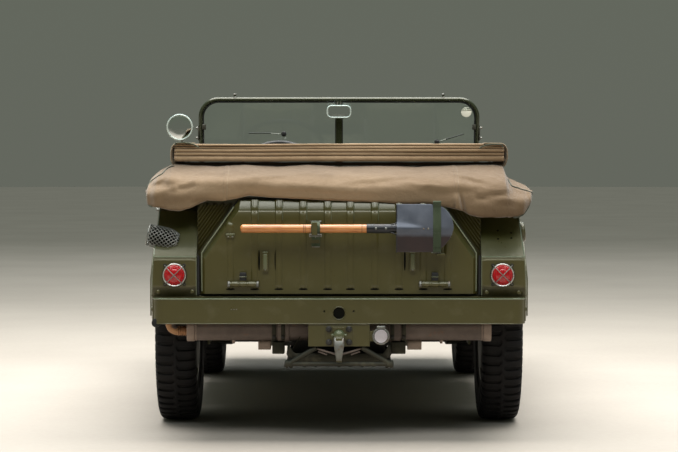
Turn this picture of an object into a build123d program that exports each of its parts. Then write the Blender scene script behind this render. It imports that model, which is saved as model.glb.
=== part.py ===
from build123d import *
import math
import os

os.makedirs("parts", exist_ok=True)

# ------------------------------------------------------------------
# Open rear-engined 4x4 army car, left-hand drive, canvas top folded.
# Millimetres, +Y forward, +X to the car's right, +Z up, ground at z = 0.
# ------------------------------------------------------------------

# wheels and axles
WHEELBASE = 2060.0
REAR_AXLE_Y = -1010.0
FRONT_AXLE_Y = REAR_AXLE_Y + WHEELBASE
WHEEL_Z = 361.0
TRACK_HALF = 657.5
TYRE_R = 361.0
TYRE_W = 165.0
TYRE_BEAD_R = 203.0
RIM_HALF = 60.0
KINGPIN_X = 552.0
STEER_ARCH_R = 430.0
REAR_ARCH_R = 425.0

# body shell
BODY_HALF = 780.0
SILL_Z = 345.0
BELT_Z = 934.0
LEAN_Z, LEAN = 600.0, 0.115  # the sides lean inwards above this height
REAR_FACE_Y = -1772.0
SHELL = 24.0
EDGE_R = 45.0
SHEET = 8.0
FLOOR_Z = 350.0
TUNNEL_HALF = 110.0
TUNNEL_TOP = 470.0
PAN_FRONT = -860.0
PAN_Z = 500.0
CABIN_BACK = -1290.0
CABIN_FRONT = 330.0
OPENING_HALF = 700.0
SPLIT_REAR = -1465.0
SPLIT_FRONT = 430.0
FIREWALL_Y = 612.0
FOOT_END = 798.0
WHEELHOUSE_X = 385.0
WHEELHOUSE_TOP = 800.0
REAR_WALL_X = 520.0

# doors
DOOR_BACK, DOOR_FRONT = -505.0, 425.0
DOOR_BOTTOM, DOOR_TOP = 375.0, 800.0
DOOR_CORNER = 120.0
DOOR_GAP = 6.5
DOOR_T = 40.0
DOOR_HINGE_Z = (480.0, 720.0)

# engine lid and the panels round it
LID_HALF, LID_TOP_HALF = 530.0, 385.0
LID_BOTTOM, LID_KNEE, LID_TOP = 565.0, 722.0, 925.0
LID_FACE_Y, LID_BACK_Y = -1775.0, -1716.0
LID_SHEET = 10.0
LID_SHOULDER_Z, LID_SHOULDER_Y = 884.0, 19.0  # the top leans forward above this height, by this much
LID_BEVEL = 25.0
BEAD_X = (43.5, 137.0, 230.0, 323.0, 416.0)
BEAD_W, BEAD_H = 28.0, 5.0
LID_AXIS_Y, LID_AXIS_Z = -1790.0, 603.0
RECESS_HALF = 545.0

# front hood
HOOD_HALF = 430.0
HOOD_BACK = 640.0
HOOD_LIP_Z = 700.0
HOOD_GAP = 6.0
HOOD_T = 20.0

# windscreen
SCREEN_AXIS_Y, SCREEN_AXIS_Z = 400.0, 975.0
SCREEN_HALF = 652.5
SCREEN_TOP_Y, SCREEN_TOP = 330.0, 1353.5
SCREEN_FOOT = 985.0
SCREEN_TUBE_R = 9.5
SCREEN_CORNER_R = 86.0

# steering
COLUMN_ANGLE = 35.0
STEER_C = (-274.0, -30.0, 994.0)
STEER_R = 200.0

# rear bumper
BUMPER_BACK, BUMPER_HALF, BUMPER_R = -1812.0, 714.0, 55.0
BUMPER_LOW, BUMPER_HIGH = 460.0, 550.0

# lamps
TAIL_LAMPS = ((-630.0, 638.0), (626.0, 638.0))  # x, z
TAIL_R = 44.0
HEAD_X, HEAD_Z, HEAD_R = 530.0, 680.0, 88.0


# ------------------------------------------------------------------
# helpers
# ------------------------------------------------------------------
def box(x0, x1, y0, y1, z0, z1):
    return Pos((x0 + x1) / 2, (y0 + y1) / 2, (z0 + z1) / 2) * Box(x1 - x0, y1 - y0, z1 - z0)


def cyl(a, b, r):
    a, b = Vector(*a), Vector(*b)
    d = b - a
    return Plane(origin=a, z_dir=d) * Cylinder(r, d.length, align=(Align.CENTER, Align.CENTER, Align.MIN))


def tube(a, b, ro, ri):
    return cyl(a, b, ro) - cyl(a, b, ri)


def outline(pts, plane):
    """A closed face of (a, b) or (a, b, radius) corners on a plane."""
    f = make_face(Polyline(*[(p[0], p[1]) for p in pts], close=True)).face()
    for p in pts:
        if len(p) > 2 and p[2] > 0:
            v = min(f.vertices(), key=lambda q: (q.X - p[0]) ** 2 + (q.Y - p[1]) ** 2)
            f = f.fillet_2d(p[2], [v])
    return plane * f


def prism_x(pts, x0, x1):
    """Corners are (y, z)."""
    return extrude(outline(pts, Plane(origin=(x0, 0, 0), x_dir=(0, 1, 0), z_dir=(1, 0, 0))), x1 - x0)


def prism_y(pts, y0, y1):
    """Corners are (x, z)."""
    return extrude(outline(pts, Plane(origin=(0, y1, 0), x_dir=(1, 0, 0), z_dir=(0, -1, 0))), y1 - y0)


def prism_z(pts, z0, z1):
    """Corners are (x, y)."""
    return extrude(outline(pts, Plane.XY.offset(z0)), z1 - z0)


def both(pts):
    """A left and right outline from its right half, listed upwards or forwards."""
    return list(pts) + [(-p[0],) + tuple(p[1:]) for p in reversed(pts)]


def rod(pts, r, bend=0.0):
    """A round bar along a bent line."""
    v = [Vector(*p) for p in pts]
    path = FilletPolyline(*v, radius=bend) if bend > 0 and len(pts) > 2 else Polyline(*v)
    return sweep(Plane(origin=v[0], z_dir=v[1] - v[0]) * Circle(r), path=path, transition=Transition.RIGHT)


def spun(section, axis=Axis.X):
    """A ring about the wheel's axis from (radius, place along the axle) corners."""
    return revolve(make_face(Polyline(*[Vector(a, r, 0) for r, a in section], close=True)), axis=axis, revolution_arc=360)


def cut_plane(shape, point, normal):
    """Removes what lies on the side that the normal points to."""
    big = Plane(origin=point, z_dir=normal) * Box(6000, 6000, 3000, align=(Align.CENTER, Align.CENTER, Align.MIN))
    return shape - big


def flip(shape):
    return mirror(shape, about=Plane.YZ)


def pair(shape):
    return shape + flip(shape)


def fuse(parts):
    out = parts[0]
    for p in parts[1:]:
        out = out + p
    return out


def main_solid(shape):
    return shape.solids().sort_by(lambda q: q.volume)[-1]


def solids_over(shape, least):
    keep = [q for q in shape.solids() if q.volume > least]
    return keep[0] if len(keep) == 1 else Compound(children=keep)


def node(name, shape):
    solids = shape.solids()
    out = solids[0] if len(solids) == 1 else Compound(children=list(solids))
    export_step(out, "parts/" + name + ".step")


# ------------------------------------------------------------------
# body hull: a plan outline crossed with a side outline
# ------------------------------------------------------------------
# half width, y, corner radius, from the back forwards
PLAN = (
    (704.0, -1900.0, 0),
    (768.0, -1180.0, 2500),
    (BODY_HALF, -300.0, 3000),
    (BODY_HALF, 1200.0, 2500),
    (700.0, 1742.0, 90),
)
# y, z, corner radius, from the rear face up over the deck and hood to the nose
SLOPE_FOOT_Z, SLOPE_TOP_Y = 708.0, -1592.0
ROUND_FROM = -1600.0


def plan(o, z):
    pts = [(h - o, y + (o if y < -1500 else -o if y > 1700 else 0), max(r - (o if r < 500 else 0), 0)) for h, y, r in PLAN]
    return outline(both(pts), Plane.XY.offset(z))


def side_x(z):
    """Half width of the body beside the doors."""
    return BODY_HALF - max(z - LEAN_Z, 0) * LEAN


def hull(o, rounded_edges=False):
    """The body's outline, o inside its surface."""
    p1 = loft([plan(o, 300), plan(o, LEAN_Z)], ruled=True) + loft([plan(o, LEAN_Z), plan(o + 400 * LEAN, LEAN_Z + 400)], ruled=True)
    low = SILL_Z if o <= 0 else SILL_Z - 30
    side = [
        (REAR_FACE_Y + o, low, 0),
        (REAR_FACE_Y + o, SLOPE_FOOT_Z - o * 0.3, 0),
        (SLOPE_TOP_Y + o * 0.6, BELT_Z - 2 - o, 80),
        (500, BELT_Z + 6 - o, 3000),
        (1690 - o, 850 - o, 150),
        (1760 - o, 600, 200),
        (1690 - o, low, 0),
    ]
    h = p1 & prism_x(side, -900, 900)
    if rounded_edges:
        chain = []
        for e in h.edges():
            bb = e.bounding_box()
            if bb.min.Z > 700 and abs(e.center().X) > 500 and bb.size.Y > 3 and e.center().Y > ROUND_FROM:
                chain.append(e)
        h = h.fillet(EDGE_R, chain)
    return h


outer = hull(0, True)
# facet between the rear slope and the side, widening upwards
FACET = (Vector(701, -1771, 708), Vector(650, -1597, 915), Vector(700, -1597, 868))
fn = (FACET[1] - FACET[0]).cross(FACET[2] - FACET[0])
fn = fn * (1 if fn.X > 0 else -1)
for s in (1, -1):
    outer = cut_plane(outer, Vector(s * FACET[0].X, FACET[0].Y, FACET[0].Z), Vector(s * fn.X, fn.Y, fn.Z))
inner = hull(SHELL)
shell = outer - inner

front_arch = cyl((WHEELHOUSE_X + 1, FRONT_AXLE_Y, WHEEL_Z), (900, FRONT_AXLE_Y, WHEEL_Z), STEER_ARCH_R)
rear_arch = cyl((REAR_WALL_X + 10, REAR_AXLE_Y, WHEEL_Z), (900, REAR_AXLE_Y, WHEEL_Z), REAR_ARCH_R)
for arch in (front_arch, rear_arch):
    shell = shell - arch - flip(arch)
shell = shell - box(-OPENING_HALF, OPENING_HALF, CABIN_BACK, CABIN_FRONT, 700, 1000)

# ---- side panels -------------------------------------------------
door_hole = prism_x([
    (DOOR_BACK, DOOR_BOTTOM, DOOR_CORNER), (DOOR_FRONT, DOOR_BOTTOM, DOOR_CORNER), (DOOR_FRONT, 990, 0), (DOOR_BACK, 990, 0)], 700, 900)
side_right = shell & box(OPENING_HALF, 900, SPLIT_REAR, SPLIT_FRONT, 300, 1000)
side_right = side_right - door_hole - box(600, 900, -1900, REAR_AXLE_Y, 300, BUMPER_LOW)
lip = tube((705, REAR_AXLE_Y, WHEEL_Z), (760, REAR_AXLE_Y, WHEEL_Z), REAR_ARCH_R + 10, REAR_ARCH_R)
side_right = side_right + (lip & inner & box(705, 900, SPLIT_REAR, 0, BUMPER_LOW, 1000))
side_left = flip(side_right)

# ---- front body: nose, wings, cowl, wheelhouses, footwell ----------
front = shell & (box(-900, 900, SPLIT_FRONT, 1900, 300, 1000) + box(-OPENING_HALF, OPENING_HALF, CABIN_FRONT, SPLIT_FRONT, 300, 1000))
front = front - box(-HOOD_HALF, HOOD_HALF, HOOD_BACK - HOOD_GAP, 1900, HOOD_LIP_Z, 1000)
W = WHEELHOUSE_X
axle_gap = box(300, 900, 930, 1270, 200, 478)
walls = fuse([
    box(W - SHEET, W, 612, 1493, FLOOR_Z, 808),
    box(W - SHEET, 760, 612, 620, FLOOR_Z - 15, 808),
    box(W - SHEET, 760, 1485, 1493, FLOOR_Z - 15, 808),
    box(W - SHEET, 760, 612, 1493, WHEELHOUSE_TOP, 808),
]) - axle_gap
foot = fuse([
    box(-W, W, FIREWALL_Y, FOOT_END, FLOOR_Z - 15, FLOOR_Z - 7),
    prism_x([(790, 335), (FOOT_END, 335), (FOOT_END, 560), (690, 712), (FIREWALL_Y, 712), (FIREWALL_Y, 700), (686, 700), (790, 556)], SHEET - W, W - SHEET),
])
foot = foot - box(-TUNNEL_HALF - 0.01, TUNNEL_HALF + 0.01, 600, 810, 300, TUNNEL_TOP)
bin_floor = box(SHEET - W, W - SHEET, FOOT_END, 1700, PAN_Z, PAN_Z + SHEET)
nose_wall = box(SHEET - W, W - SHEET, 1640, 1648, PAN_Z + SHEET, HOOD_LIP_Z)
cowl_wall = box(-740, 740, FIREWALL_Y, FIREWALL_Y + SHEET, 700, 920) - box(SHEET - W, W - SHEET, 600, 640, 0, 708)
seat_rim = (hull(SHELL + 6) - hull(SHELL + 14)) & (
    box(-HOOD_HALF - 25, HOOD_HALF + 25, 612, 1760, 690, 1000) - box(22 - HOOD_HALF, HOOD_HALF - 22, 664, 1640, 500, 1100))
link = box(HOOD_HALF + 2, HOOD_HALF + 24, 640, 1560, 700, 1000) & (hull(SHELL - 1) - hull(SHELL + 8))
front = front + (fuse([walls, flip(walls), foot, bin_floor, nose_wall, cowl_wall]) & hull(SHELL - 0.5)) + seat_rim + link + flip(link)
lamp_hole = cyl((HEAD_X, 1560, HEAD_Z), (HEAD_X, 1900, HEAD_Z), HEAD_R)
front = front - lamp_hole - flip(lamp_hole)
for i in range(-3, 4):
    front = front - box(i * 60 - 9, i * 60 + 9, 1600, 1800, 560, 660)
# brackets that carry the folding windscreen
for s in (1, -1):
    bracket = box(s * 690 - 12, s * 690 + 12, 380, 420, 925, 992)
    front = front + (bracket - inner)

# ---- rear body: corner boxes, deck, frame round the engine lid -----
rear = shell & (box(-900, 900, -1900, SPLIT_REAR, 300, 1000) + box(-OPENING_HALF, OPENING_HALF, SPLIT_REAR, CABIN_BACK, 700, 1000))
rear = rear - box(-RECESS_HALF, RECESS_HALF, -1900, -1500, 300, 1000)
deck = box(-RECESS_HALF, RECESS_HALF, -1690, -1499, 908, 932)
frame_plate = box(-RECESS_HALF, RECESS_HALF, -1700, -1690, 470, 932)
mouth = prism_y(both([(485, 610, 20), (485, 705, 30), (355, 880, 30)]), -1750, -1650)
cheek = prism_x([(-1772, 470), (-1772, 708), (-1592, 932), (-1499, 932), (-1499, 880), (-1560, 880), (-1690, 710), (-1690, 470)], RECESS_HALF, RECESS_HALF + 10) & outer
sill = (box(-700, 700, -1765, -1690, 462, 556) - box(-690, 690, -1757, -1698, 400, 548)) & outer
rear = fuse([rear, deck, frame_plate - mouth, cheek, flip(cheek), sill])
# slats beside the slanting lid edges
ex, ez = LID_TOP_HALF - LID_HALF, LID_TOP - LID_KNEE
el = math.hypot(ex, ez)
dx, dz = ex / el, ez / el
nx, nz = dz, -dx
louvre = prism_y([(LID_HALF + 14, LID_KNEE + 6), (LID_HALF + 14, 912), (LID_TOP_HALF + 20, 912)], -1720, -1690)
for k in range(5):
    cx, cz = LID_HALF + nx * (22 + 24 * k), LID_KNEE + nz * (22 + 24 * k)
    slat = Plane(origin=(cx - dx * 100, -1714, cz - dz * 100), x_dir=(nx, 0, nz), z_dir=(dx, 0, dz)) * make_face(Polyline((-8, 14), (-2, 14), (8, 0), (2, 0), close=True))
    slat = extrude(slat, 500) & louvre
    rear = rear + slat + flip(slat)
rear = rear - box(-800, 800, -1900, -1400, 300, BUMPER_LOW)

# ---- floor, tunnel, seat pan, rear wheelhouses, bulkhead -----------
T = TUNNEL_HALF
tunnel = box(-T, T, PAN_FRONT, FOOT_END, 335, TUNNEL_TOP) - box(SHEET - T, T - SHEET, -900, 900, 300, TUNNEL_TOP - SHEET)
sheets = fuse([
    box(-756, 756, -572, FIREWALL_Y, FLOOR_Z - 15, FLOOR_Z),
    box(-REAR_WALL_X, REAR_WALL_X, PAN_FRONT, -572, FLOOR_Z - 15, FLOOR_Z),
]) - box(SHEET - T, T - SHEET, -1300, 900, 300, 400)
pan = box(-REAR_WALL_X, REAR_WALL_X, CABIN_BACK, PAN_FRONT, PAN_Z - SHEET, PAN_Z) + (
    box(-REAR_WALL_X, REAR_WALL_X, PAN_FRONT, PAN_FRONT + SHEET, FLOOR_Z - 15, PAN_Z) - box(SHEET - T, T - SHEET, -950, -600, 300, TUNNEL_TOP - SHEET))
R = REAR_WALL_X
house = fuse([
    box(R, R + SHEET, -1448, -572, 335, 800),
    box(R, 757, -580, -572, 335, 800),
    box(R, 757, -1448, -1440, 335, 800),
    box(R, 757, -1448, -572, 792, 800),
]) - box(500, 560, -1130, -890, 300, 470) - box(500, 800, -1500, -1330, 300, BUMPER_LOW)
bulk = box(-757, 757, CABIN_BACK - SHEET, CABIN_BACK, PAN_Z - SHEET, 908)
behind = box(R + SHEET - 0.1, 800, -1400, -1200, 400, 792)
bulk = bulk - behind - flip(behind)
rail = box(250, 320, PAN_FRONT, 890, 290, 335)
floor = (fuse([tunnel, sheets]) & hull(SHELL + 0.3)) + rail + flip(rail)
floor = floor - front - rear - side_right - side_left
tub = (fuse([pan, house, flip(house), bulk]) & hull(SHELL + 0.3)) - floor - front - rear - side_right - side_left
front = front - side_right - side_left
rear = rear - side_right - side_left
node("floor_pan", floor)
node("rear_tub", tub)
node("front_body", front)
node("rear_body", rear)
node("side_right", side_right)
node("side_left", side_left)

# ---- doors ---------------------------------------------------------
g = DOOR_GAP
door_zone = prism_x([
    (DOOR_BACK + g, DOOR_BOTTOM + g, DOOR_CORNER - g),
    (DOOR_FRONT - g, DOOR_BOTTOM + g, DOOR_CORNER - g),
    (DOOR_FRONT - g, 905, 0),
    (DOOR_FRONT - 65, 905, 25),
    (DOOR_FRONT - 125, DOOR_TOP, 40),
    (DOOR_BACK + 75, DOOR_TOP, 30),
    (DOOR_BACK + 55, 850, 20),
    (DOOR_BACK + g, 850, 0),
], 700, 900)
door = (outer - hull(DOOR_T)) & door_zone & box(700, 900, -700, 700, 300, 905)
door = door - prism_x([(DOOR_BACK + 70, 440, 60), (DOOR_FRONT - 70, 440, 60), (DOOR_FRONT - 70, 700, 40), (DOOR_BACK + 70, 700, 40)], 700, 752)
for z in DOOR_HINGE_Z:
    door = door + box(side_x(z + 14) - 2, BODY_HALF + 6, 330, DOOR_FRONT - g, z - 14, z + 14)
handle_x = side_x(742)
door = door + cyl((handle_x - 4, -430, 742), (handle_x + 20, -430, 742), 9) + box(handle_x + 14, handle_x + 23, -436, -352, 735, 749)
node("door_right", door)
node("door_left", flip(door))

# ---- hood ----------------------------------------------------------
G = HOOD_GAP
hood = (outer - hull(HOOD_T)) & box(G - HOOD_HALF, HOOD_HALF - G, HOOD_BACK, 1900, HOOD_LIP_Z + G, 1000)
for x in (-200.0, 200.0):
    hood = hood + ((hull(-5) - hull(2)) & box(x - 14, x + 14, 760, 1500, 700, 1100))
for x in (-300.0, 300.0):
    hood = hood + (box(x - 30, x + 30, 1560, 1790, 712, 732) & (hull(-12) - hull(2)))
node("hood", hood)

# ---- engine lid ----------------------------------------------------
def lid_form(o, back):
    pts = both([(LID_HALF - o, LID_BOTTOM + o), (LID_HALF - o, LID_KNEE - o * 0.3), (LID_TOP_HALF - o * 0.9, LID_TOP - o)])
    f = prism_y(pts, LID_FACE_Y + o, back)
    f = f & prism_x([(LID_FACE_Y + o, LID_BOTTOM), (LID_FACE_Y + o, LID_SHOULDER_Z - o * 0.2, 25), (LID_FACE_Y + LID_SHOULDER_Y + o * 0.7, LID_TOP - o, 10 - o * 0.5), (back, LID_TOP - o), (back, LID_BOTTOM)], -600, 600)
    for s in (1, -1):
        q = Vector(s * (LID_HALF - LID_BEVEL * nx - o), LID_FACE_Y + o * 0.4, LID_KNEE - LID_BEVEL * nz)
        f = cut_plane(f, q, Vector(s * nx, -1, nz))
        f = cut_plane(f, Vector(s * (LID_HALF - 16 - o), LID_FACE_Y + o * 0.4, 600), Vector(s, -1, 0))
    return f


lid = lid_form(0, LID_BACK_Y) - lid_form(LID_SHEET, LID_BACK_Y + 1)
# pressed ribs: round bars sunk in the sheet, so that their rounded backs stand proud
BEAD_R = (BEAD_W * BEAD_W / 4 + BEAD_H * BEAD_H) / (2 * BEAD_H)
sink = BEAD_R - BEAD_H
bead_path = [(LID_FACE_Y + sink, LID_BOTTOM + 34), (LID_FACE_Y + sink, LID_SHOULDER_Z), (LID_FACE_Y + sink + LID_SHOULDER_Y, LID_TOP)]
core = lid_form(3, LID_BACK_Y)
for x in BEAD_X:
    for s in (1, -1):
        q = [(s * x, y, z) for y, z in bead_path]
        if x > LID_TOP_HALF - BEAD_W:
            top = LID_KNEE + (LID_HALF - x - BEAD_W) / (LID_HALF - LID_TOP_HALF) * (LID_TOP - LID_KNEE) - 18
            q = [q[0], (s * x, q[0][1], top)]
            bar = cyl(q[0], q[1], BEAD_R) + Pos(*q[1]) * Sphere(BEAD_R)
        else:
            bar = rod(q, BEAD_R, 20)
        bar = bar + Pos(*q[0]) * Sphere(BEAD_R)
        lid = lid + ((bar - core) & box(-600, 600, LID_FACE_Y - 20, LID_BACK_Y, 500, LID_TOP + 1))
node("engine_lid", lid)

# ---- lid fittings ---------------------------------------------------
# x, z low, z high, half width, proud of the lid's face, mirrored
FITTINGS = (
    (366.0, 596.0, 613.0, 40.0, 14.0, True),    # hinge leaf
    (367.0, 605.0, 647.0, 12.0, 20.0, True),    # rubber buffer above it
    (282.0, 653.0, 726.0, 11.5, 15.0, True),    # upright bracket
    (416.0, 789.0, 797.0, 17.0, 12.0, True),    # small top latch
    (-93.0, 760.0, 845.0, 19.0, 10.0, False),   # pad under the shovel's shaft
    (387.0, 716.0, 790.0, 15.0, 10.0, False),   # pad under the shovel's blade
)
fit = []
for x, z0, z1, w, p, twice in FITTINGS:
    for s in ((1, -1) if twice else (1,)):
        fit.append(box(s * x - w, s * x + w, LID_FACE_Y - p, LID_FACE_Y - BEAD_H, z0, z1))
for s in (1, -1):
    fit.append(cyl((s * 366 - 55, LID_AXIS_Y, LID_AXIS_Z), (s * 366 + 55, LID_AXIS_Y, LID_AXIS_Z), 9))
fit.append(box(-109, -77, -1832, LID_FACE_Y - BEAD_H, 794, 801))
fit.append(box(-104, -82, -1869, -1832, 794, 801) + box(-104, -82, -1875, -1868, 794, 842))
fit.append(box(372, 402, -1842, LID_FACE_Y - BEAD_H, 716, 722))
node("lid_fittings", fuse(fit) - lid)

# ---- shovel ---------------------------------------------------------
SHOVEL_Y, SHOVEL_Z = -1850.0, 818.0
shaft = cyl((-375, SHOVEL_Y, SHOVEL_Z), (120, SHOVEL_Y, SHOVEL_Z), 16)
shaft = shaft.fillet(12, shaft.edges().group_by(Axis.X)[0])
node("shovel_handle", shaft)
blade = prism_y([(214, 905, 10), (214, 731, 10), (330, 727, 60), (432, 800, 20), (432, 836, 20), (330, 911, 60)], -1849, -1844)
node("shovel_blade", cyl((120, SHOVEL_Y, SHOVEL_Z), (226, SHOVEL_Y, SHOVEL_Z), 17.5) + blade)

# ---- rear bumper: open channel with wrapped ends ---------------------
def band(t, y_end, z0, z1):
    return prism_z(both([(BUMPER_HALF - t, BUMPER_BACK + t, BUMPER_R - t), (BUMPER_HALF - t, y_end)]), z0, z1)


bump = band(0, -1690, BUMPER_LOW, BUMPER_HIGH) - band(12, -1680, BUMPER_LOW - 5, BUMPER_HIGH - 10)
bump = bump + (band(0, -1690, BUMPER_LOW - 8, BUMPER_LOW) - band(28, -1600, 440, 470))
bump = bump - cyl((0, -1900, 494), (0, -1760, 494), 23)
for s in (1, -1):
    bump = bump - cyl((s * 56, -1900, 501), (s * 56, -1760, 501), 3.5)
bump = main_solid(bump - rear - side_left - side_right)
node("rear_bumper", bump)

# ---- tow plate, hook, trailer socket ---------------------------------
tow = box(-117.5, 117.5, -1806, -1796, 366, 452)
tow = tow + box(-52, 52, -1811, -1806, 372, 446) + box(-22, 22, -1816, -1811, 380, 440) + cyl((0, -1816, 408), (0, -1835, 408), 17)
tow = tow + prism_x([(-1832, 425, 4), (-1850, 400, 6), (-1850, 330, 8), (-1838, 307, 6), (-1818, 307, 6), (-1822, 330, 4), (-1830, 345, 6), (-1830, 380, 6), (-1816, 400, 0), (-1816, 425, 0)], -11, 11)
arm = box(60, 90, -1796, -1700, 366, 450) - box(68, 90, -1790, -1690, 374, 442)
tow = fuse([tow, arm, flip(arm)] + [cyl((sx * 38, -1818, z), (sx * 38, -1810, z), 7) for sx in (1, -1) for z in (382, 434)])
# trailer socket on a lug beside the plate
tow = tow + cyl((160, -1760, 406), (160, -1812, 406), 30) + cyl((160, -1812, 406), (160, -1820, 406), 33) + box(110, 140, -1804, -1798, 386, 426)
node("tow_hitch", tow)

# ---- engine: one block with its fan housing ---------------------------
# x0, x1, y0, y1, z0, z1
ENGINE_BLOCKS = (
    (-180, 180, -1560, -1310, 320, 470),   # sump and crankcase
    (-260, 260, -1520, -1340, 345, 450),   # cylinder pairs
    (-120, 120, -1580, -1380, 470, 640),   # fan housing's foot
    (120, 230, -1530, -1470, 640, 680),    # air duct
    (-300, -190, -1560, -1400, 560, 700),  # oil cooler
    (-195, -115, -1540, -1500, 590, 640),  # its bracket
)
engine = fuse([box(*row) for row in ENGINE_BLOCKS])
# end a, end b, radius: fan drum, crank pulley, generator pulley, air filter
ENGINE_DRUMS = (
    ((0, -1590, 600), (0, -1450, 600), 150),
    ((0, -1604, 430), (0, -1560, 430), 70),
    ((-40, -1604, 600), (-40, -1590, 600), 60),
    ((230, -1500, 600), (230, -1500, 760), 85),
)
engine = fuse([engine] + [cyl(*row) for row in ENGINE_DRUMS])

# ---- skid frame under the rear ----------------------------------------
# end a, end b, radius
SKID = (
    ((-200, -1790, 297), (200, -1790, 297), 9),
    ((-190, -1790, 300), (-88, -1790, 360), 10),
    ((190, -1790, 300), (88, -1790, 360), 10),
    ((-190, -1790, 297), (-190, -1480, 305), 12),
    ((190, -1790, 297), (190, -1480, 305), 12),
)
skid = main_solid(fuse([cyl(*row) for row in SKID]) - tow - engine)
node("skid_frame", skid)

# ---- exhaust -----------------------------------------------------------
# half length from, to, y0, y1, z0, z1 : body, end caps, clamps
MUFFLER = (
    (0, 560, -1692, -1590, 378, 456),
    (560, 587, -1695, -1587, 376, 458),
    (193, 237, -1697, -1585, 373, 461),
)
ex_parts = []
for a, b, y0, y1, z0, z1 in MUFFLER:
    piece = box(a if a else -b, b, y0, y1, z0, z1)
    piece = piece.fillet(30, piece.edges().filter_by(Axis.X))
    ex_parts += [piece, flip(piece)] if a else [piece]
for s in (1, -1):
    ex_parts.append(cyl((s * 300, -1660, 390), (s * 300, -1660, 345), 13))
    ex_parts.append(cyl((s * 250, -1600, 400), (s * 250, -1520, 400), 18))
exhaust = fuse(ex_parts) + rod([(-575, -1640, 414), (-658, -1640, 414), (-658, -1640, 530)], 17, 40)
exhaust = main_solid(exhaust - engine - skid - tow - rear - bump)
node("exhaust", exhaust)
node("engine", engine - exhaust)

# perforated guard at the left rear corner
gdir = Vector(-1, -0.18, -0.12).normalized()
gc = Vector(-668, -1665, 786)
g0, g1 = gc - gdir * 40, gc + gdir * 66
guard = cyl(tuple(g0), tuple(g1), 42) - cyl(tuple(g0 + gdir * 4), tuple(g1 + gdir * 10), 38)
guard = main_solid(guard - outer)
node("exhaust_guard", guard)

# ---- tail lamps ----------------------------------------------------------
lamps = []
for x, z in TAIL_LAMPS:
    lamps.append(cyl((x, REAR_FACE_Y, z), (x, -1790, z), TAIL_R) + cyl((x, -1790, z), (x, -1802, z), TAIL_R - 8))
    for a in (45, 135, 225, 315):
        ax, az = 50 * math.cos(math.radians(a)), 50 * math.sin(math.radians(a))
        lamps.append(cyl((x + ax, REAR_FACE_Y, z + az), (x + ax, -1817, z + az), 3.5))
        if a < 180:
            lamps.append(cyl((x + ax, -1813, z + az), (x - ax, -1813, z - az), 2.5))
node("rear_lamps", fuse(lamps) - rear)

# ---- headlamps and front indicators -----------------------------------------
hl = []
for s in (1, -1):
    x = s * HEAD_X
    hl.append(cyl((x, 1640, HEAD_Z), (x, 1766, HEAD_Z), HEAD_R) - cyl((x, 1758, HEAD_Z), (x, 1770, HEAD_Z), HEAD_R - 8))
    hl.append(tube((x, 1660, HEAD_Z), (x, 1766, HEAD_Z), HEAD_R + 10, HEAD_R) - outer)
    hl.append(cyl((s * 620, 1560, 905), (s * 620, 1600, 905), 28) + (cyl((s * 620, 1580, 800), (s * 620, 1580, 900), 10) - outer))
node("headlamps", fuse(hl) - front)

# ---- front bumper -------------------------------------------------------------
fb = prism_z(both([(714, 1730), (714, 1812, 55)]), 400, 500) - prism_z(both([(704, 1720), (704, 1802, 45)]), 395, 492)
EYE_X = 320.0
for s in (1, -1):
    fb = fb + (prism_x([(1812, 470, 6), (1812, 418, 0), (1850, 418, 18), (1850, 470, 18)], s * EYE_X - 9, s * EYE_X + 9) - cyl((s * EYE_X - 30, 1829, 444), (s * EYE_X + 30, 1829, 444), 12))
    fb = fb + (box(s * EYE_X - 35, s * EYE_X + 35, 1690, 1802, 420, 470) - box(s * EYE_X - 27, s * EYE_X + 27, 1680, 1796, 428, 462))
fb = main_solid(fb - outer - front)
node("front_bumper", fb)

# ---- front axle: crossed torsion tubes, trailing arms, final drive --------------
KP_TOP, KP_BOT = 436.0, 286.0
TORSION_Y = FRONT_AXLE_Y + 150
DRIVE_R = 78.0
fa = []
for z, eye in ((KP_TOP + 12, 12), (KP_BOT - 12, -12)):
    fa.append(cyl((-440, TORSION_Y, z), (440, TORSION_Y, z), 30))
    for s in (1, -1):
        fa.append(cyl((s * KINGPIN_X, FRONT_AXLE_Y, z - 12), (s * KINGPIN_X, FRONT_AXLE_Y, z + 12), 24))
        fa.append(prism_z([(s * 404, TORSION_Y - 16), (s * 432, TORSION_Y + 14), (s * (KINGPIN_X + 10), FRONT_AXLE_Y + 14), (s * (KINGPIN_X - 16), FRONT_AXLE_Y - 14)], z - 10, z + 10))
for s in (1, -1):
    fa.append(cyl((s * 90, FRONT_AXLE_Y, WHEEL_Z), (s * 500, FRONT_AXLE_Y, WHEEL_Z), 16))
    fa.append(cyl((s * 95, FRONT_AXLE_Y, WHEEL_Z), (s * 150, FRONT_AXLE_Y, WHEEL_Z), 45))
fa.append(cyl((-110, FRONT_AXLE_Y, WHEEL_Z), (110, FRONT_AXLE_Y, WHEEL_Z), DRIVE_R))
fa.append(cyl((0, FRONT_AXLE_Y - 60, WHEEL_Z), (0, FRONT_AXLE_Y - 150, 372), 42))
fa.append(cyl((0, FRONT_AXLE_Y - 150, 372), (0, -900, 400), 24))
fa.append(box(-40, 40, FRONT_AXLE_Y, TORSION_Y + 20, 283, 440))
fa.append(box(-40, 40, TORSION_Y - 20, TORSION_Y + 20, 440, PAN_Z))
faxle = main_solid(fuse(fa) - front - floor - tub)
node("front_axle", faxle)

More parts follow.
